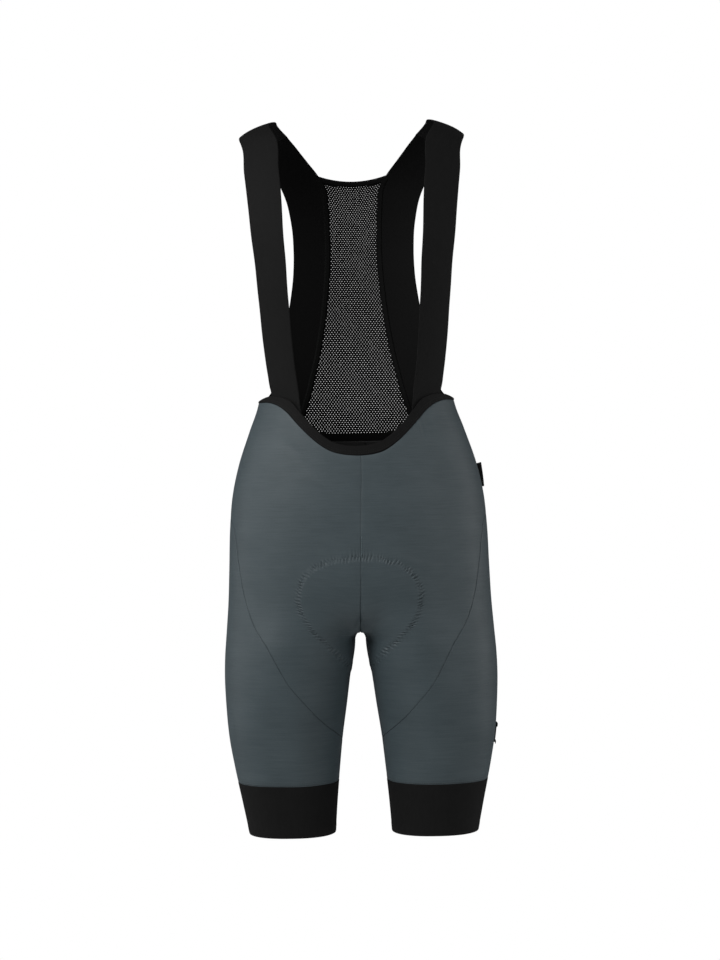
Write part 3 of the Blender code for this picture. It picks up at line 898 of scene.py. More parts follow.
# %% Bind the waist
BINDING_CLOTH = 2.3 * MM


def both_halves(x, turn, level):
    """Points and normals on the half where each x lies; at x = 0 the normal stays as it is."""
    flip = np.stack([np.sign(x), np.ones_like(x), np.ones_like(x)], -1)
    return point(turn, level) * flip, outward(turn, level) * np.where(flip == 0, 1, flip)


def waist_strip(face, waist, width, rows):
    """Points and normals of a strip on the waist seam, from -X to +X."""
    x = WAIST_HALF * (2 * shares(150, 2 * WAIST_HALF) - 1)
    low = waist(x)
    turn = face * (EDGE + (1 - EDGE) * np.abs(turn_at(x, low, face)))
    high = raised(x, waist, width)
    down = shares(rows, width)[:, None]
    level = high + (low + LAP - high) * down
    turn, level, x = np.broadcast_arrays(turn, level, x)
    return both_halves(x, turn, level)


for name, face, waist, width, thick, slot, node in (
    ("waist_roll", -1, front_waist, BINDING_WIDTH, BINDING_CLOTH, "black_elastic", "waist_binding"),
    ("waist_tape", 1, back_waist, BAND_WIDTH, CLOTH, "black_jersey", "waist_band"),
):
    spots, out = waist_strip(face, waist, width, 9)
    piece = shell(name, spots, out, thick, own_chart(spots), rim=0.1)
    rests = ["front_cloth_left"] if face < 0 else ["back_cloth_left"]
    declare(piece, spots, slot, node, rests)

# %% [markdown]
# ## Braces
# A brace is a flat elastic tape. It starts behind the waist roll, widens slightly towards the
# shoulder and turns over it. The last centimetres dip inwards so that the roll covers the end.

# %% Lay the braces over the shoulders
STRAP_CLOTH = 1.6 * MM
STRAP_TUCK = 4.0 * MM
STRAP_SINK = 2.3 * MM


def between_edges(inner, outer, t, across):
    """Turn and level of a grid: t runs along the two edges and `across` from one to the other."""
    turn_in, level_in = edge_curve(inner, t)
    turn_out, level_out = edge_curve(outer, t)
    return turn_in + (turn_out - turn_in) * across, level_in + (level_out - level_in) * across


def strap_grid():
    """Turn and level of a brace from behind the waist roll to the bib seam."""
    feet_x = np.array(STRAP_FEET)
    feet = np.clip(np.abs(turn_at(feet_x, front_waist(feet_x), -1)), 0, 1)
    across = shares(20, 0.038)
    foot = -(feet[0] + (feet[1] - feet[0]) * across)
    t = np.linspace(0, 1, 130)[:, None]
    t = 0.35 * t + 0.65 * (1 - (1 - t) ** 1.6)
    turn, level = between_edges(STRAP_INNER, STRAP_OUTER, t, across)
    fade = np.clip(1 - t / 0.12, 0, 1)
    turn = turn + (foot - turn[0]) * fade
    end = on_waist(foot, FRONT_LINE, 2) + STRAP_TUCK
    return turn, level + (end - level[0]) * fade


for word, side in SIDES.items():
    turn, level = strap_grid()
    spots = point(turn, level)
    sew_sheet(
        f"brace_{word}",
        side,
        (turn, level),
        STRAP_CLOTH,
        own_chart(spots),
        "black_elastic",
        f"strap_{word}",
        ["waist_roll"],
        lift=-STRAP_SINK * (1 - ease((lengths(spots, 0) - STRAP_TUCK) / (16 * MM))),
    )

# %% [markdown]
# ## Bib: side panels, tapes and neck binding
# Behind, each brace runs into a shaped side panel. A doubled tape covers the seam between the
# side panel and the net, and a narrow binding closes the net at the neck.

# %% Grids of the bib
NECK_TOP = 0.0450
NECK_FOOT = 0.0515
NECK_BOW = 0.0070
NET_GAP = 1.3 * SEAM


def bib_grid():
    """Turn and level of a side panel, from its end at the brace down to the waist band."""
    t = shares(112, 0.42)[:, None]
    across = shares(24, 0.05)
    first = turn_at(NET_FOOT, back_waist(NET_FOOT), 1)
    foot = first + (EDGE - first) * across
    turn, level = between_edges(BIB_INNER, BIB_OUTER, t, across)
    fade = np.clip((t - 0.80) / 0.20, 0, 1)
    turn = turn + (foot - turn[-1]) * fade
    end = on_waist(foot, BACK_LINE, 2) + LAP
    return turn, level + (end - level[-1]) * fade


BIB_TURN, BIB_LEVEL = bib_grid()
BIB_EDGE_X = point(BIB_TURN[:, 0], BIB_LEVEL[:, 0])[:, 0]


def net_half(level):
    """The net's half width at a level: the side panel's inner edge less a seam."""
    return np.interp(level, BIB_LEVEL[:, 0], BIB_EDGE_X) - NET_GAP


def net_bow(level):
    """How far the net's rows sag in the middle, most at the neck."""
    return NECK_BOW * np.clip(1 - (level - NECK_FOOT) / 0.120, 0, 1) ** 2


def net_points(x, level):
    """Points of the net at a distance from the middle, rows named by their level at the edge."""
    share = np.clip(np.abs(x) / net_half(level), 0, 1)
    low = level + net_bow(level) * (1 - share**2)
    return both_halves(x, turn_at(x, low, 1), low)


# %% Sew the bib's cloth
for word, side in SIDES.items():
    sew_sheet(
        f"bib_cloth_{word}",
        side,
        (BIB_TURN, BIB_LEVEL),
        CLOTH,
        figure_chart(BIB_TURN, BIB_LEVEL, point(BIB_TURN, BIB_LEVEL)),
        "black_jersey",
        f"bib_side_{word}",
        [f"brace_{word}", "waist_tape"],
    )

# %% Tapes along the net and at the neck
TAPE_WIDTH = 8.0 * MM
TAPE_OVER = 1.0 * MM
TAPE_CLOTH = 2.2 * MM
TAPE_END = 0.3805
NECK_CLOTH = 1.9 * MM
NECK_CURVE = 3.6 * MM
for word, side in SIDES.items():
    level = np.linspace(NECK_FOOT - 4 * MM, TAPE_END, 120)[:, None]
    x = net_half(level) - TAPE_OVER + TAPE_WIDTH * shares(8, TAPE_WIDTH)
    x, level = np.broadcast_arrays(x * side, level)
    spots, out = net_points(x, level)
    piece = shell(f"net_tape_{word}", spots, out, TAPE_CLOTH, own_chart(spots), 0.1)
    declare(piece, spots, "black_jersey", None, [f"bib_cloth_{word}"], stretch=False)

x = (net_half(NECK_TOP) + 0.4 * MM) * (2 * shares(60, 0.08) - 1)
foot = NECK_FOOT + 0.6 * MM + NECK_CURVE * (x / net_half(NECK_TOP)) ** 2
level = NECK_TOP + (foot - NECK_TOP) * shares(8, 0.007)[:, None]
x, level = np.broadcast_arrays(x, level)
spots, out = net_points(x, level)
piece = shell("neck_tape", spots, out, NECK_CLOTH, own_chart(spots), 0.1)
declare(piece, spots, "black_jersey", "neck_binding", ["bib_cloth_left"])

# %% [markdown]
# ## The net
# Warp-knitted net is a sheet of six-sided meshes round small round holes. An alpha texture
# would look right from the front only, and cutting holes by Boolean would take minutes. The
# cells are counted in whole numbers instead: a six-sided cell's corners lie on an integer
# lattice, so the corners that neighbours share are found with one call and the mesh is joined.

# %% Knit the net
NET_PITCH = 3.40 * MM
NET_ROW = 2.76 * MM
NET_CLOTH = 0.8 * MM
HOLE_WIDE = 0.47 * MM
HOLE_HIGH = 0.355 * MM
BEAD = 0.55
PULL_LEVELS = (0.045, 0.110, 0.180, 0.250, 0.400)
PULLS = (1.0, 1.01, 1.07, 1.14, 1.14)
CORNERS = np.array([(0, -2), (1, -1), (1, 1), (0, 2), (-1, 1), (-1, -1)])


def net_pull(level):
    """How far the cells are stretched at a level."""
    return smooth(level, PULL_LEVELS, PULLS)


def net_place(lattice):
    """Distance from the middle and level of lattice points; cells widen towards the waist."""
    level = NECK_FOOT - 1.5 * MM + lattice[:, 1] * NET_ROW / 3
    return lattice[:, 0] * NET_PITCH / 2 * net_pull(level), level


def net_cells():
    """Integer centres of the cells that lie between the tapes, the neck and the band."""
    column, row = np.meshgrid(np.arange(-40, 41), np.arange(0, 145))
    centres = np.stack([2 * column + row % 2, 3 * row], -1).reshape(-1, 2)
    x, level = net_place(centres)
    foot = on_waist(turn_at(np.abs(x), level, 1), BACK_LINE, 2)
    bowed = level + net_bow(level)
    keep = (np.abs(x) < net_half(level) + 1.5 * MM) & (bowed < foot + 1.5 * MM)
    return centres[keep]


def knit_net():
    """Corner points shared by neighbours, hole points of each cell, and the faces between."""
    centres = net_cells()
    corners = (centres[:, None] + CORNERS).reshape(-1, 2)
    lattice, number = np.unique(corners, axis=0, return_inverse=True)
    number = number.reshape(-1, 6)
    angle = np.arctan2(CORNERS[:, 1] / 3 * NET_ROW, CORNERS[:, 0] / 2 * NET_PITCH)
    ring_points = np.stack([HOLE_WIDE * np.cos(angle), HOLE_HIGH * np.sin(angle)], -1)
    centre_x, centre_level = net_place(centres)
    middles = np.stack([centre_x, centre_level], -1)
    open_ = net_pull(centre_level)[:, None, None]
    holes = (middles[:, None] + ring_points * open_).reshape(-1, 2)
    flat = np.concatenate([np.stack(net_place(lattice), -1), holes])
    spots, out = net_points(flat[:, 0], flat[:, 1])
    bead = np.concatenate([np.full(len(lattice), 1.0), np.full(len(holes), BEAD)])[:, None]
    count = len(flat)
    step = out * NET_CLOTH / 2 * bead
    points = np.concatenate([spots + step, spots - step])
    hole = (len(lattice) + np.arange(len(holes))).reshape(-1, 6)
    number_next, hole_next = np.roll(number, -1, 1), np.roll(hole, -1, 1)
    face = np.stack([number, number_next, hole_next, hole], -1).reshape(-1, 4)
    wall = np.stack([hole, hole_next, hole_next + count, hole + count], -1).reshape(-1, 4)
    pairs = np.stack([number, number_next], -1).reshape(-1, 2)
    found = np.unique(np.sort(pairs, 1), axis=0, return_index=True, return_counts=True)
    first, uses = found[1:]
    edge = pairs[first[uses == 1]]
    border = np.stack([edge[:, 1], edge[:, 0], edge[:, 0] + count, edge[:, 1] + count], -1)
    quads = np.concatenate([face, face[:, ::-1] + count, wall, border])
    return points, quads, np.tile(flat, (2, 1)), len(centres)


points, quads, chart, cells = knit_net()
net = put_mesh("bib_net", points, quads[:, ::-1], chart=chart)
print("net cells:", cells, "triangles:", triangle_count(net))
stand_for(net, "black_net", "back_mesh")
NET_END = 0.3865
NET_WIDE = 2 * float(net_half(NET_END)) / STRETCH_ROUND
NET_LONG = (NET_END - NECK_FOOT) / STRETCH_ALONG
NET_MEAN = 2 * float(net_half(np.linspace(NECK_FOOT, NET_END, 200)).mean()) / STRETCH_ROUND
NET_AREA = NET_MEAN * NET_LONG
CUTS["bib_net"] = (round(NET_WIDE * 1000), round(NET_LONG * 1000), round(NET_AREA * 1e4))

# %% [markdown]
# ## The seat pad
# The pad is foam between two knits, pressed in a mould: full in the middle, thin at the rim,
# with pressed channels so that it can fold. A cloth simulation would puff it like a cushion
# and lose the channels, so its thickness is worked out from the distance to the rim and to
# each channel. Its face towards the cloth stays smooth.

# %% Mould the pad
PAD_CLOTH = 5.0 * MM
PAD_GAP = 2.9 * MM
PAD_RIM = 1.4 * MM
CROSS_CHANNELS = (-0.30, -0.20, 0.12, 0.24, 0.34)


def softened(vectors, times):
    """Each vector of a grid averaged with its neighbours, in the shares 1, 2, 1 both ways."""
    for _ in range(times):
        wide = np.pad(vectors, ((1, 1), (1, 1), (0, 0)), "edge")
        rows = wide[:-2] + 2 * wide[1:-1] + wide[2:]
        vectors = (rows[:, :-2] + 2 * rows[:, 1:-1] + rows[:, 2:]) / 16
    return vectors


def pad_grid():
    """Middle points and normals of the pad, in rows from front to back.

    The rows follow a sine so that they crowd at the two ends, the columns a power so that
    they crowd at the middle, where the pad folds. There the grid is so narrow that its
    normals waver, so they are averaged before they are made one unit long.
    """
    along = np.sin(np.linspace(-0.5, 0.5, 150) * math.pi * 0.93)[:, None]
    rim = PAD_SIDE * (1 - np.abs(along) ** 3) ** (1 / 3)
    along = along * np.where(along < 0, PAD_FRONT, PAD_BACK)
    share = np.linspace(-1, 1, 91)
    away = rim * np.abs(share) ** 1.3
    turn = np.where(along < 0, -1, 1) * (1 - 2 * np.abs(along) * away / TURN_LENGTH)
    spots = point(turn, PELVIS + away**2 - along**2)
    spots[..., 0] *= np.sign(share)
    out = np.cross(np.gradient(spots, axis=0), np.gradient(spots, axis=1))
    out = unit(softened(out, 10))
    spots = spots - out * (CLOTH / 2 + PAD_GAP + PAD_CLOTH / 2)
    return spots, out, np.broadcast_arrays(along, share)


def channel(distance, width, depth):
    """A pressed groove: a bell curve of the distance from its line."""
    return depth * np.exp(-((distance / width) ** 2))


spots, out, (along, share) = pad_grid()
inner_rim = ease(from_edges(spots) / (14 * MM))
full = PAD_RIM + (PAD_CLOTH - PAD_RIM) * inner_rim
pressed = channel(np.abs(share) - 0.36, 0.030, 1.5 * MM)
pressed = pressed + channel(np.abs(share) - 0.68, 0.026, 1.2 * MM)
for line in CROSS_CHANNELS:
    pressed = np.maximum(pressed, channel(along - line + 0.05 * share**2, 0.007, 1.3 * MM))
thick = full - np.minimum(pressed, 0.6 * full) * inner_rim
cushion = shell(
    "seat_cushion",
    spots,
    out,
    thick,
    own_chart(spots),
    lift=(PAD_CLOTH - thick) / 2 * inner_rim,
)
stand_for(cushion, "black_pad", "seat_pad")

# %% [markdown]
# ## Side tab and thigh patch
# The tab is a short tape folded in two and caught in the side seam. The patch is a plain heat
# pressed tape on the outer thigh, a little thicker along its two borders.

# %% Fold the tab and press the patch
TAB_TOP = 0.4340
TAB_FOOT = 0.4645
TAB_ROOT = -0.3 * MM
TAB_OUT_TOP = 7.0 * MM
TAB_OUT_FOOT = 3.4 * MM
TAB_CLOTH = 0.8 * MM
PATCH_CLOTH = 0.9 * MM
PATCH_FRONT = (-0.0522, -0.0498)
PATCH_BACK = (0.0917, 0.0880)
PATCH_LEVELS = (0.8351, 0.8612)
PATCH_BORDER = 4.2 * MM
PATCH_RAISED = 1.4 * MM


def tab_grid():
    """A half round profile, stretched out sideways, carried down the side seam."""
    angle = np.linspace(-1, 1, 33) * math.pi / 2
    reach = np.clip(np.cos(angle) * 1.6, 0, 1)
    level = TAB_TOP + (TAB_FOOT - TAB_TOP) * shares(30, TAB_FOOT - TAB_TOP)[:, None]
    seam = point(np.zeros_like(level), level)
    run = seam[-1, 0] - seam[0, 0]
    way = np.array((-run[2], 0.0, run[0])) / math.hypot(run[0], run[2])
    out = TAB_OUT_TOP + (TAB_OUT_FOOT - TAB_OUT_TOP) * (level - TAB_TOP) / (TAB_FOOT - TAB_TOP)
    spots = seam + way * (TAB_ROOT + out * reach)[..., None]
    spots[..., 1] += np.sin(angle) * 1.0 * MM
    return spots, unit(np.cross(np.gradient(spots, axis=0), np.gradient(spots, axis=1)))


spots, out = tab_grid()
tab = shell("side_tab", spots, out, TAB_CLOTH, own_chart(spots))
declare(tab, spots, "black_elastic", "hip_tab", ["front_cloth_left"], stretch=False)

down = shares(28, PATCH_LEVELS[1] - PATCH_LEVELS[0])[:, None]
front = PATCH_FRONT[0] + (PATCH_FRONT[1] - PATCH_FRONT[0]) * down
back = PATCH_BACK[0] + (PATCH_BACK[1] - PATCH_BACK[0]) * down
turn = front + (back - front) * shares(30, 0.034)
level = PATCH_LEVELS[0] + (PATCH_LEVELS[1] - PATCH_LEVELS[0]) * down + 0 * turn
spots = point(turn, level)
run = lengths(spots, 0)
border = 1 - ease((np.minimum(run, run[-1] - run) - PATCH_BORDER) / (1.2 * MM))
base = CLOTH / 2 + SEAM + PATCH_CLOTH / 2 + creased(turn, level, 1)
sew_sheet(
    "thigh_patch",
    SIDES["left"],
    (turn, level),
    PATCH_CLOTH,
    own_chart(spots),
    "black_elastic",
    "leg_patch",
    ["leg_cloth_left"],
    lift=base + PATCH_RAISED * border,
    stretch=False,
)

# %% [markdown]
# ## Sewing
# Flat seams on such shorts are covered by thread: short bars that cross the seam, and on the
# bindings two rows of dashes. A particle system could scatter them, but here each stitch is
# one small spindle of eight points, and numpy makes all the spindles of a seam as one array.


# %% Stitches as arrays
def place_on(turn, level, side, height):
    """Points of a seam on the outside of the cloth, with the normals there."""
    out = outward(turn, level)
    lift = creased(turn, level, side) + height
    return mirrored(point(turn, level) + out * lift[:, None], side), mirrored(out, side)


def read_off(at, sewn, vectors):
    """The vectors of a line where these lengths of it are sewn."""
    return np.stack([np.interp(at, sewn, vectors[:, axis]) for axis in range(3)], -1)


def evenly(spots, out, pitch):
    """The line's points at even steps, with its normals and directions."""
    sewn = lengths(spots[None], 1)[0]
    at = np.arange(pitch / 2, sewn[-1], pitch)
    ahead = read_off(at + 0.3 * MM, sewn, spots)
    behind = read_off(at - 0.3 * MM, sewn, spots)
    return read_off(at, sewn, spots), unit(read_off(at, sewn, out)), unit(ahead - behind)


def spindles(place, along, normal, length, width):
    """Eight corners and two tips for each stitch: a square section that narrows to its ends."""
    aside = unit(np.cross(normal, along))
    ends = np.array([-0.30, 0.30])[:, None, None, None] * length * along[None, None]
    turns = np.arange(4) * math.pi / 2
    across, up = np.cos(turns)[:, None, None], 0.8 * np.sin(turns)[:, None, None]
    section = (across * aside + up * normal) * width / 2
    body = place[None, None] + ends + section[None]
    body = body.transpose(2, 0, 1, 3).reshape(len(place), 8, 3)
    tips = place[:, None] + np.array([-0.5, 0.5])[:, None] * length * along[:, None]
    tips = tips - normal[:, None] * width * 0.6
    return np.concatenate([body, tips], 1)


def stitch_faces(count):
    """Four sides and four triangles at each tip, for every stitch."""
    this = np.arange(4)
    following = (this + 1) % 4
    sides = np.stack([this, following, following + 4, this + 4], -1)
    low = np.stack([following, this, np.full(4, 8)], -1)
    high = np.stack([this + 4, following + 4, np.full(4, 9)], -1)
    base = 10 * np.arange(count)[:, None, None]
    return (sides + base).reshape(-1, 4), (np.concatenate([low, high]) + base).reshape(-1, 3)


def put_thread(name, points, slot, quads, triangles=None):
    """An object of thread: it rides with the cloth and stands for no solid."""
    piece = put_mesh(name, points.reshape(-1, 3), quads, triangles)
    stand_for(piece, slot, None)
    print(f"{name}: {triangle_count(piece)} triangles")


def sew(name, stitches, slot):
    """One object from a list of spindle arrays, its faces turned outwards."""
    points = np.concatenate(stitches)
    quads, triangles = stitch_faces(len(points))
    first, second, far = points[0, 0], points[0, 1], points[0, 4]
    centre = points[0, :8].mean(0)
    facing = np.cross(second - first, far - first)
    if (facing * ((first + second + far) / 3 - centre)).sum() < 0:
        quads, triangles = quads[:, ::-1], triangles[:, ::-1]
    put_thread(name, points, slot, quads, triangles)


def bars(spots, out, pitch, length, width):
    """Stitches that cross the line."""
    place, normal, ahead = evenly(spots, out, pitch)
    return spindles(place, unit(np.cross(normal, ahead)), normal, length, width)


def dashes(spots, out, pitch, width):
    """Stitches that follow the line."""
    place, normal, ahead = evenly(spots, out, pitch)
    return spindles(place, ahead, normal, pitch * 0.86, width)


# %% Sew the panels together
SEAM_PITCH = 1.6 * MM
SEAM_THREAD = 0.50 * MM
IN_SEAM = CLOTH / 2 - 0.24 * MM
ON_CLOTH = CLOTH / 2 - 0.12 * MM
seam_stitches = []
for side in SIDES.values():
    level = np.linspace(LEG_SEAM[0].level + 2 * MM, SEAM_LAST - 2 * MM, 400)
    for face in (-1, 1):
        line = place_on(face * leg_seam(level, 0), level, side, IN_SEAM)
        seam_stitches.append(dashes(*line, SEAM_PITCH, SEAM_THREAD))
    level = np.linspace(SIDE_TOP + 3 * MM, LEG_SEAM[0].level, 200)
    line = place_on(np.zeros_like(level), level, side, IN_SEAM)
    seam_stitches.append(dashes(*line, SEAM_PITCH, SEAM_THREAD))


def centre_line(face, top, foot, aside, height):
    """Points and normals down the centre front or back, moved aside towards +X."""
    level = np.linspace(top, foot, 300)
    spots, out = place_on(np.full_like(level, face * 0.9995), level, 1, height)
    spots[:, 0] = aside
    return leaned(spots), unit(out * (0, 1, 1))


CENTRE_TOPS = ((-1, front_waist(0.0) + 0.10), (1, back_waist(0.0)))
for face, top in CENTRE_TOPS:
    line = centre_line(face, top + 2 * MM, PELVIS - 95 * MM, 0.0, IN_SEAM)
    seam_stitches.append(dashes(*line, SEAM_PITCH, SEAM_THREAD))
sew("seam_stitches", seam_stitches, "slate_jersey")

# %% [markdown]
# The centre seams are also top-stitched: one row of thread holds the seam allowance down
# beside the groove. The thread's pale colour is a painted highlight: it stands for the light
# that the ridge beside the groove catches. Inside, the centre back's raw edges are pressed to
# one side and bound with black thread.

# %% Top-stitch the centre
TOP_PITCH = 2.2 * MM
TOP_THREAD = 1.05 * MM
TOP_ASIDE = 0.85 * MM
PRESSED_ASIDE = 11 * MM
top_stitches = []
for face, top in CENTRE_TOPS:
    line = centre_line(face, top + 1 * MM, PELVIS - 100 * MM, TOP_ASIDE, ON_CLOTH + 0.18 * MM)
    top_stitches.append(dashes(*line, TOP_PITCH, TOP_THREAD))
sew("top_stitches", top_stitches, "slate_jersey")
crotch_stitches = []
for face in (-1, 1):
    line = centre_line(face, PELVIS - 95 * MM, PELVIS + 3 * MM, 0.0, ON_CLOTH - 0.02 * MM)
    crotch_stitches.append(dashes(*line, 1.2 * MM, 1.1 * MM))
sew("crotch_stitches", crotch_stitches, "slate_jersey")
under = -CLOTH / 2 - 0.3 * MM
line = centre_line(1, back_waist(0.0) + 1 * MM, PELVIS - 60 * MM, PRESSED_ASIDE, under)
sew("inner_binding", [bars(*line, 0.9 * MM, 2.2 * MM, 0.9 * MM)], "black_jersey")

# %% Sew the bindings and cuffs
BAND_PITCH = 3.0 * MM
BAND_THREAD = 0.38 * MM
black_stitches = []
ring_turn = np.linspace(-0.995, 0.995, 500)
for side in SIDES.values():
    for below in (1.6, 4.4):
        level = np.full_like(ring_turn, CUFF_LEVEL - below * MM)
        line = place_on(ring_turn, level, side, ON_CLOTH)
        black_stitches.append(dashes(*line, BAND_PITCH, BAND_THREAD))
for x_side in (-1, 1):
    x = np.linspace(0.001, 0.120, 260)
    low = front_waist(x)
    turn = turn_at(x, low, -1)
    for share in (0.18, 0.42):
        level = low + (raised(x, front_waist, BINDING_WIDTH) - low) * share
        line = place_on(turn, level, x_side, BINDING_CLOTH / 2 - 0.05 * MM)
        black_stitches.append(dashes(*line, BAND_PITCH, BAND_THREAD))
sew("band_stitches", black_stitches, "black_elastic")


# %% The zigzag thread
def thread_tube(name, spots, out, radius, slot):
    """A closed five-sided tube along a ring of points: the ring's own circle at each point."""
    ahead = unit(np.roll(spots, -1, 0) - np.roll(spots, 1, 0))
    aside = unit(np.cross(ahead, out))
    turns = np.arange(5) * 2 * math.pi / 5
    circle = np.cos(turns)[:, None] * aside[:, None] + np.sin(turns)[:, None] * out[:, None]
    points = spots[:, None] + radius * circle
    here = grid_index(len(spots), 5)
    onward, around = np.roll(here, -1, 0), np.roll(here, -1, 1)
    quads = np.stack([here, onward, np.roll(onward, -1, 1), around], -1).reshape(-1, 4)
    put_thread(name, points, slot, quads)


def quarter_thread(face, side):
    """One quarter of the zigzag, from the midline to the inseam, on the outside of the cloth."""
    angle, radius, sewn = OVALS[face]
    reach = PAD_FRONT if face < 0 else PAD_BACK
    at = np.linspace(0, sewn[-1], int(sewn[-1] / (0.55 * MM)))
    theta = np.interp(at, sewn, angle)
    spot = np.interp(at, sewn, radius) * np.exp(1j * theta)
    normal = (np.abs(spot.real) / reach) ** 2 / reach
    normal = normal + 1j * (np.abs(spot.imag) / SEWN_SIDE) ** 2 / SEWN_SIDE
    spot = spot + normal / np.abs(normal) * zigzag(at, sewn[-1]) / (2 * np.abs(spot))
    square = spot**2
    turn = face * np.clip(1 - np.abs(square.imag) / TURN_LENGTH, 0, 1 - 0.002)
    level = PELVIS - square.real
    lift = relief(turn, level, side, face) + CLOTH / 2 - 0.16 * MM
    out = outward(turn, level)
    spots = mirrored(point(turn, level) + out * lift[:, None], side)
    return leaned(spots), mirrored(out, side)


quarters = []
for face, side, step in ((-1, 1, 1), (1, 1, -1), (1, -1, 1), (-1, -1, -1)):
    spots, out = quarter_thread(face, side)
    quarters.append((spots[::step], out[::step]))
ring_spots, ring_out = (np.concatenate(part) for part in zip(*quarters))
thread_tube("pad_thread", ring_spots, ring_out, 0.26 * MM, "slate_jersey")

# %% [markdown]
# ## Shader maths as Python
# A knit's pattern is arithmetic on its coordinates. Adding Math nodes by hand hides the
# formula, so a small class wraps a socket: an operator on it adds the Math node and gives back
# the new socket. Every other node comes from one method, which sets a node's choices first
# and its sockets second.


# %% Sockets with operators
class Wire:
    """A socket of numbers whose operators add Math nodes."""

    def __init__(self, finish, socket):
        self.finish = finish
        self.socket = socket

    def maths(self, operation, *values):
        sockets = dict(enumerate(values))
        return self.finish.add("ShaderNodeMath", {"operation": operation}, sockets)

    def __add__(self, other):
        return self.maths("ADD", self, other)

    def __sub__(self, other):
        return self.maths("SUBTRACT", self, other)

    def __rsub__(self, other):
        return self.maths("SUBTRACT", other, self)

    def __mul__(self, other):
        return self.maths("MULTIPLY", self, other)

    __radd__ = __add__
    __rmul__ = __mul__

    def sine(self):
        return self.maths("SINE", self)


class Finish:
    """A material in the making, on the piece's own UV map in metres."""

    def __init__(self, name):
        self.material = bpy.data.materials.new(name)
        self.material.use_nodes = True
        self.tree = self.material.node_tree
        self.tree.nodes.clear()

    def add(self, kind, settings=None, sockets=None, output=0):
        """A node of a kind: its settings first, then the values or links of its sockets."""
        node = self.tree.nodes.new(kind)
        for key, value in (settings or {}).items():
            setattr(node, key, value)
        for key, value in (sockets or {}).items():
            if isinstance(value, Wire):
                self.tree.links.new(value.socket, node.inputs[key])
            else:
                node.inputs[key].default_value = value
        return Wire(self, node.outputs[output]) if len(node.outputs) else None

    def place(self):
        """The piece's own UV map, in metres."""
        return self.add("ShaderNodeUVMap", {"uv_map": "cloth"})

    def chart(self):
        """The UV map with its two numbers: metres round and metres down."""
        place = self.place()
        round_ = self.add("ShaderNodeSeparateXYZ", sockets={0: place}, output=0)
        down = Wire(self, round_.socket.node.outputs[1])
        return place, round_, down

    def noise(self, place, scale, detail=2.0, rough=0.5):
        """Noise on a place, stretched by a scale for each axis. It runs from 0 to 1."""
        moved = self.add("ShaderNodeMapping", sockets={"Vector": place, "Scale": scale})
        values = {"Vector": moved, "Scale": 1.0, "Detail": detail, "Roughness": rough}
        return self.add("ShaderNodeTexNoise", {"noise_dimensions": "3D"}, values)

    def blend(self, share, one, other):
        """One colour at 0 and the other at 1."""
        sockets = {0: share, 6: one, 7: other}
        return self.add("ShaderNodeMix", {"data_type": "RGBA"}, sockets, output=2)

    def between(self, value, low, high):
        """0 below the low value and 1 above the high one, smooth between."""
        sockets = {"Value": value, "From Min": low, "From Max": high}
        settings = {"interpolation_type": "SMOOTHSTEP"}
        return self.add("ShaderNodeMapRange", settings, sockets)

    def finish(self, colour, roughness, height, gloss, sheen, tint=(1.0, 1.0, 1.0, 1.0)):
        """The surface: colour, roughness and height vary, gloss and sheen are one number each."""
        bump = self.add("ShaderNodeBump", sockets={"Distance": 1.0, "Height": height})
        surface = self.add(
            "ShaderNodeBsdfPrincipled",
            sockets={
                "Base Color": colour,
                "Roughness": roughness,
                "Normal": bump,
                "Sheen Weight": sheen,
                "Sheen Roughness": 0.42,
                "Sheen Tint": tint,
                "Specular IOR Level": gloss,
            },
        )
        self.add("ShaderNodeOutputMaterial", sockets={"Surface": surface})
        return self.material


def grey(value):
    return (value, value, value, 1.0)


WHOLE_TURN = 2 * math.pi

# %% [markdown]
# ## Slate jersey
# The shorts' cloth is a fine warp knit in slate blue. Its long floats catch the light, so it
# shows faint streaks that run round the body, about a millimetre high and some centimetres
# long. A flat grey with plain noise would look like felt. Here that sheen is painted into
# the colour: the streaks are noise stretched thirty to one and lighter than the cloth, and
# under them lie the knit's own rows and ribs.


# %% The slate finish
def slate_jersey():
    finish = Finish("slate_jersey")
    place, round_, down = finish.chart()
    sheen_streaks = finish.noise(place, (30.0, 820.0, 1.0), 3.0, 0.55)
    long_sheen_streaks = finish.noise(place, (9.0, 260.0, 1.0), 2.0, 0.5)
    patches = finish.noise(place, (17.0, 24.0, 1.0), 2.0, 0.5)
    grain = finish.noise(place, (520.0, 780.0, 1.0), 2.0, 0.6)
    ribs = (round_ * (WHOLE_TURN / 0.00062)).sine()
    rows = (down * (WHOLE_TURN / 0.00048)).sine()
    # The streaks paint the floats' sheen into the colour as lighter strokes; the patches and grain
    # are the cloth's own uneven tone.
    light = sheen_streaks * 0.42 + long_sheen_streaks * 0.16 + patches * 0.30 + grain * 0.28
    light = finish.between(light, 0.36, 0.80)
    cloth = finish.blend(light, (0.0485, 0.0705, 0.0800, 1.0), (0.0720, 0.0990, 0.1115, 1.0))
    # The inner face is painted near black: painted shade for the dark inside of the garment.
    inside = finish.add("ShaderNodeAttribute", {"attribute_name": "inside"}, output=2)
    colour = finish.blend(inside, cloth, grey(0.012))
    roughness = 0.61 - light * 0.06
    height = (sheen_streaks - 0.5) * 0.00002 + grain * 0.00003 + ribs * rows * 0.000012
    return finish.finish(colour, roughness, height, 0.60, 0.08, (0.80, 0.90, 1.0, 1.0))


# %% [markdown]
# ## The black finishes
# Black cloth is never quite black: what tells jersey, elastic tape, net and thread apart is
# how they spread the light. Each one gets its own structure: fine ribs along an elastic tape,
# a soft knit on the side panels, and twisted thread on the stitches.


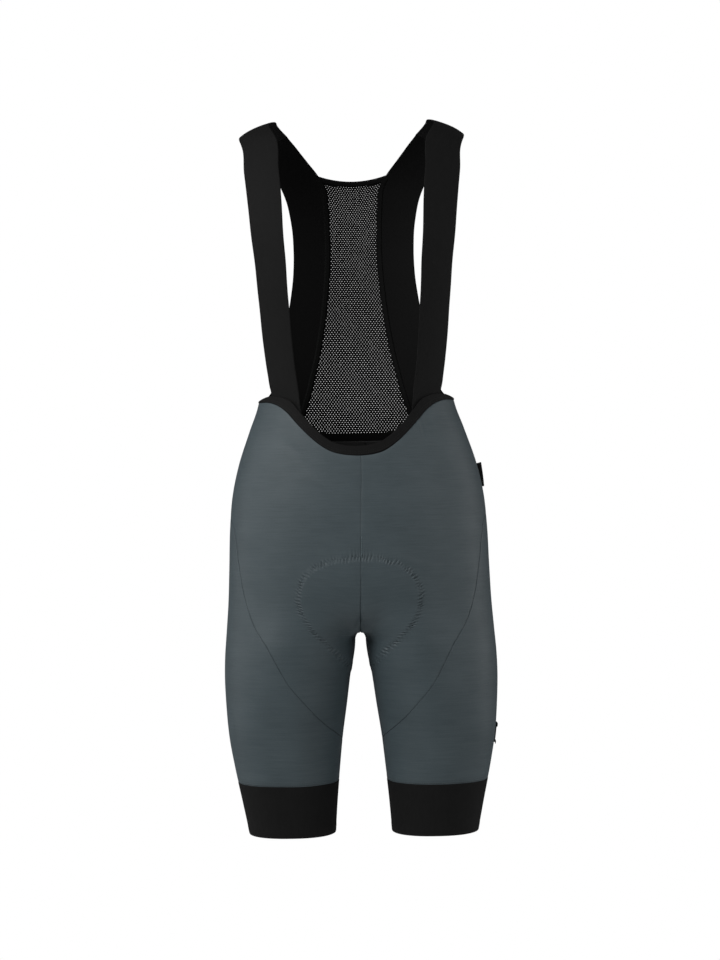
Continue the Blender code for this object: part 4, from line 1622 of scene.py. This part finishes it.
# %% The black finishes
def black_jersey():
    finish = Finish("black_jersey")
    place, round_, down = finish.chart()
    mottle = finish.noise(place, (120.0, 300.0, 1.0), 3.0, 0.5)
    ribs = (round_ * (WHOLE_TURN / 0.00070)).sine()
    rows = (down * (WHOLE_TURN / 0.00055)).sine()
    colour = finish.blend(mottle, grey(0.0030), grey(0.0052))
    height = (mottle - 0.5) * 0.00006 + ribs * rows * 0.000014
    return finish.finish(colour, 0.62 + mottle * 0.12, height, 0.10, 0.01)


def black_elastic():
    finish = Finish("black_elastic")
    place, round_, down = finish.chart()
    mottle = finish.noise(place, (200.0, 60.0, 1.0), 2.0, 0.5)
    ribs = (round_ * (WHOLE_TURN / 0.00125)).sine()
    rows = (down * (WHOLE_TURN / 0.00060)).sine()
    colour = finish.blend(mottle, grey(0.0077), grey(0.0122))
    height = ribs * 0.000030 + rows * 0.000010 + (mottle - 0.5) * 0.00004
    return finish.finish(colour, 0.66 + mottle * 0.10, height, 0.12, 0.01)


def black_net():
    finish = Finish("black_net")
    threads = finish.noise(finish.place(), (900.0, 900.0, 1.0), 2.0, 0.5)
    colour = finish.blend(threads, grey(0.0060), grey(0.0150))
    return finish.finish(colour, 0.60 + threads * 0.15, threads * 0.00008, 0.12, 0.01)


def black_pad():
    finish = Finish("black_pad")
    pile = finish.noise(finish.place(), (700.0, 700.0, 1.0), 3.0, 0.6)
    colour = finish.blend(pile, grey(0.022), grey(0.040))
    return finish.finish(colour, 0.78 + pile * 0.12, pile * 0.00010, 0.20, 0.10)


def thread(name, dark, light):
    """Twisted thread: noise on the object's own coordinates, finer than a stitch."""
    finish = Finish(name)
    place = finish.add("ShaderNodeTexCoord", output=3)
    twist = finish.noise(place, (2500.0, 2500.0, 2500.0), 1.0, 0.5)
    colour = finish.blend(twist, dark, light)
    return finish.finish(colour, 0.45 + twist * 0.15, twist * 0.00003, 0.25, 0.05)


MAKERS = (slate_jersey, black_jersey, black_elastic, black_net, black_pad)
FINISHES = {maker.__name__: maker() for maker in MAKERS}
DEEP_SLATE = ((0.009, 0.012, 0.014, 1.0), (0.024, 0.031, 0.035, 1.0))
# Pale thread for the top stitches: a painted highlight along the centre seam's ridge.
PALE_HIGHLIGHT_SLATE = ((0.150, 0.200, 0.220, 1.0), (0.210, 0.275, 0.300, 1.0))
PLAIN_SLATE = ((0.060, 0.083, 0.093, 1.0), (0.075, 0.102, 0.115, 1.0))
DARK_SLATE = ((0.034, 0.045, 0.050, 1.0), (0.062, 0.079, 0.087, 1.0))
THREADS = {
    "seam_stitches": thread("seam_thread", *DEEP_SLATE),
    "top_stitches": thread("top_thread_highlight", *PALE_HIGHLIGHT_SLATE),
    "crotch_stitches": thread("crotch_thread", *PLAIN_SLATE),
    "inner_binding": thread("inner_thread", grey(0.004), grey(0.008)),
    "pad_thread": thread("pad_thread", *DARK_SLATE),
    "band_stitches": thread("black_thread", grey(0.008), grey(0.020)),
}
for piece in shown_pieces():
    if piece.data.materials and "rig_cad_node" in piece:
        continue
    stuff = THREADS.get(piece.name) or FINISHES[piece["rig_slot"]]
    piece.data.materials.clear()
    piece.data.materials.append(stuff)
print("finishes:", sorted(FINISHES) + sorted(THREADS))

# %% [markdown]
# ## Camera and light
# A product picture of black and dark grey cloth lives from its light: a large soft key on one
# side shapes the cloth, a fill opposite, at under half its strength, opens the shadows, and two
# strips behind draw the edges. A dim room adds a little from all round. The camera stands
# level, far away, at the height of the garment's middle.

# %% Camera
CAMERA_DISTANCE = 2.95
CAMERA_ROLL = math.radians(1.04)
CAMERA_ASIDE = 0.0030
CAMERA_DROP = 0.453
LENS = 85.09
SENSOR = 36.0
camera_data = bpy.data.cameras.new("camera")
camera_data.lens = LENS
camera_data.sensor_width = SENSOR
camera = bpy.data.objects.new("camera", camera_data)
camera.location = (CAMERA_ASIDE, -CAMERA_DISTANCE, -CAMERA_DROP)
camera.rotation_euler = (math.radians(90), CAMERA_ROLL, 0)
bpy.context.scene.collection.objects.link(camera)
bpy.context.scene.camera = camera
bpy.context.scene.view_settings.view_transform = "Standard"


# %% Lights, room and floor
Lamp = namedtuple("Lamp", "name azimuth elevation wide high share")
LAMP_DISTANCE = 3.0
LAMP_AIM = -0.45
KEY_WATTS = 40
LAMPS = (
    Lamp("key", -35, 35, 1.6, 1.6, 1.0),
    Lamp("left_side", -60, 20, 1.0, 2.2, 0.5),
    Lamp("right_fill", 45, 10, 1.6, 1.6, 0.45),
    Lamp("left_rim", -100, 5, 0.6, 2.4, 0.4),
    Lamp("right_rim", 100, 5, 0.6, 2.4, 0.5),
)
ROOM_LIGHT = 0.03


def soft_light(lamp):
    """A flat lamp that faces the middle; azimuth 0 is straight in front, +90 the wearer's left."""
    data = bpy.data.lights.new(lamp.name, "AREA")
    data.shape = "RECTANGLE"
    data.size, data.size_y = lamp.wide, lamp.high
    data.energy = KEY_WATTS * lamp.share
    light = bpy.data.objects.new(lamp.name, data)
    round_, up = math.radians(lamp.azimuth), math.radians(lamp.elevation)
    level = math.cos(up)
    way = np.array((math.sin(round_) * level, -math.cos(round_) * level, math.sin(up)))
    light.location = np.array((0.0, 0.0, LAMP_AIM)) + LAMP_DISTANCE * way
    light.rotation_euler = (math.radians(90) - up, 0, round_)
    light.visible_camera = False
    bpy.context.scene.collection.objects.link(light)


for lamp in LAMPS:
    soft_light(lamp)

world = bpy.data.worlds.new("room")
world.use_nodes = True
bpy.context.scene.world = world
room = world.node_tree
room.nodes.clear()


def background(strength):
    """White light of a strength from all round."""
    node = room.nodes.new("ShaderNodeBackground")
    node.inputs["Color"].default_value = grey(1.0)
    node.inputs["Strength"].default_value = strength
    return node.outputs[0]


seen = room.nodes.new("ShaderNodeLightPath")
mix = room.nodes.new("ShaderNodeMixShader")
output = room.nodes.new("ShaderNodeOutputWorld")
room.links.new(seen.outputs["Is Camera Ray"], mix.inputs[0])
room.links.new(background(ROOM_LIGHT), mix.inputs[1])
room.links.new(background(1.0), mix.inputs[2])
room.links.new(mix.outputs[0], output.inputs["Surface"])

FLOOR_DROP = 1.45
FLOOR_RADIUS = 1.3
angle = np.linspace(0, WHOLE_TURN, 96, endpoint=False)
radius = np.linspace(0.02, FLOOR_RADIUS, 12)[:, None]
height = 0 * radius * angle - FLOOR_DROP
disc = np.stack([radius * np.cos(angle), radius * np.sin(angle), height], -1)
here = grid_index(*disc.shape[:2])
around = np.roll(here, -1, 1)
quads = np.stack([here[:-1], here[1:], around[1:], around[:-1]], -1).reshape(-1, 4)
floor = put_mesh("floor", disc.reshape(-1, 3), quads)
pale = Finish("pale_floor")
grain = pale.noise(pale.add("ShaderNodeTexCoord", output=3), (40.0, 40.0, 40.0))
floor.data.materials.append(
    pale.finish(pale.blend(grain, grey(0.80), grey(0.86)), 0.6, grain * 0.0001, 0.2, 0.0)
)

# %% The table of pieces
for name, (wide, long, area) in CUTS.items():
    print(f"cut of {name}: {wide} x {long} mm, {area} square centimetres")
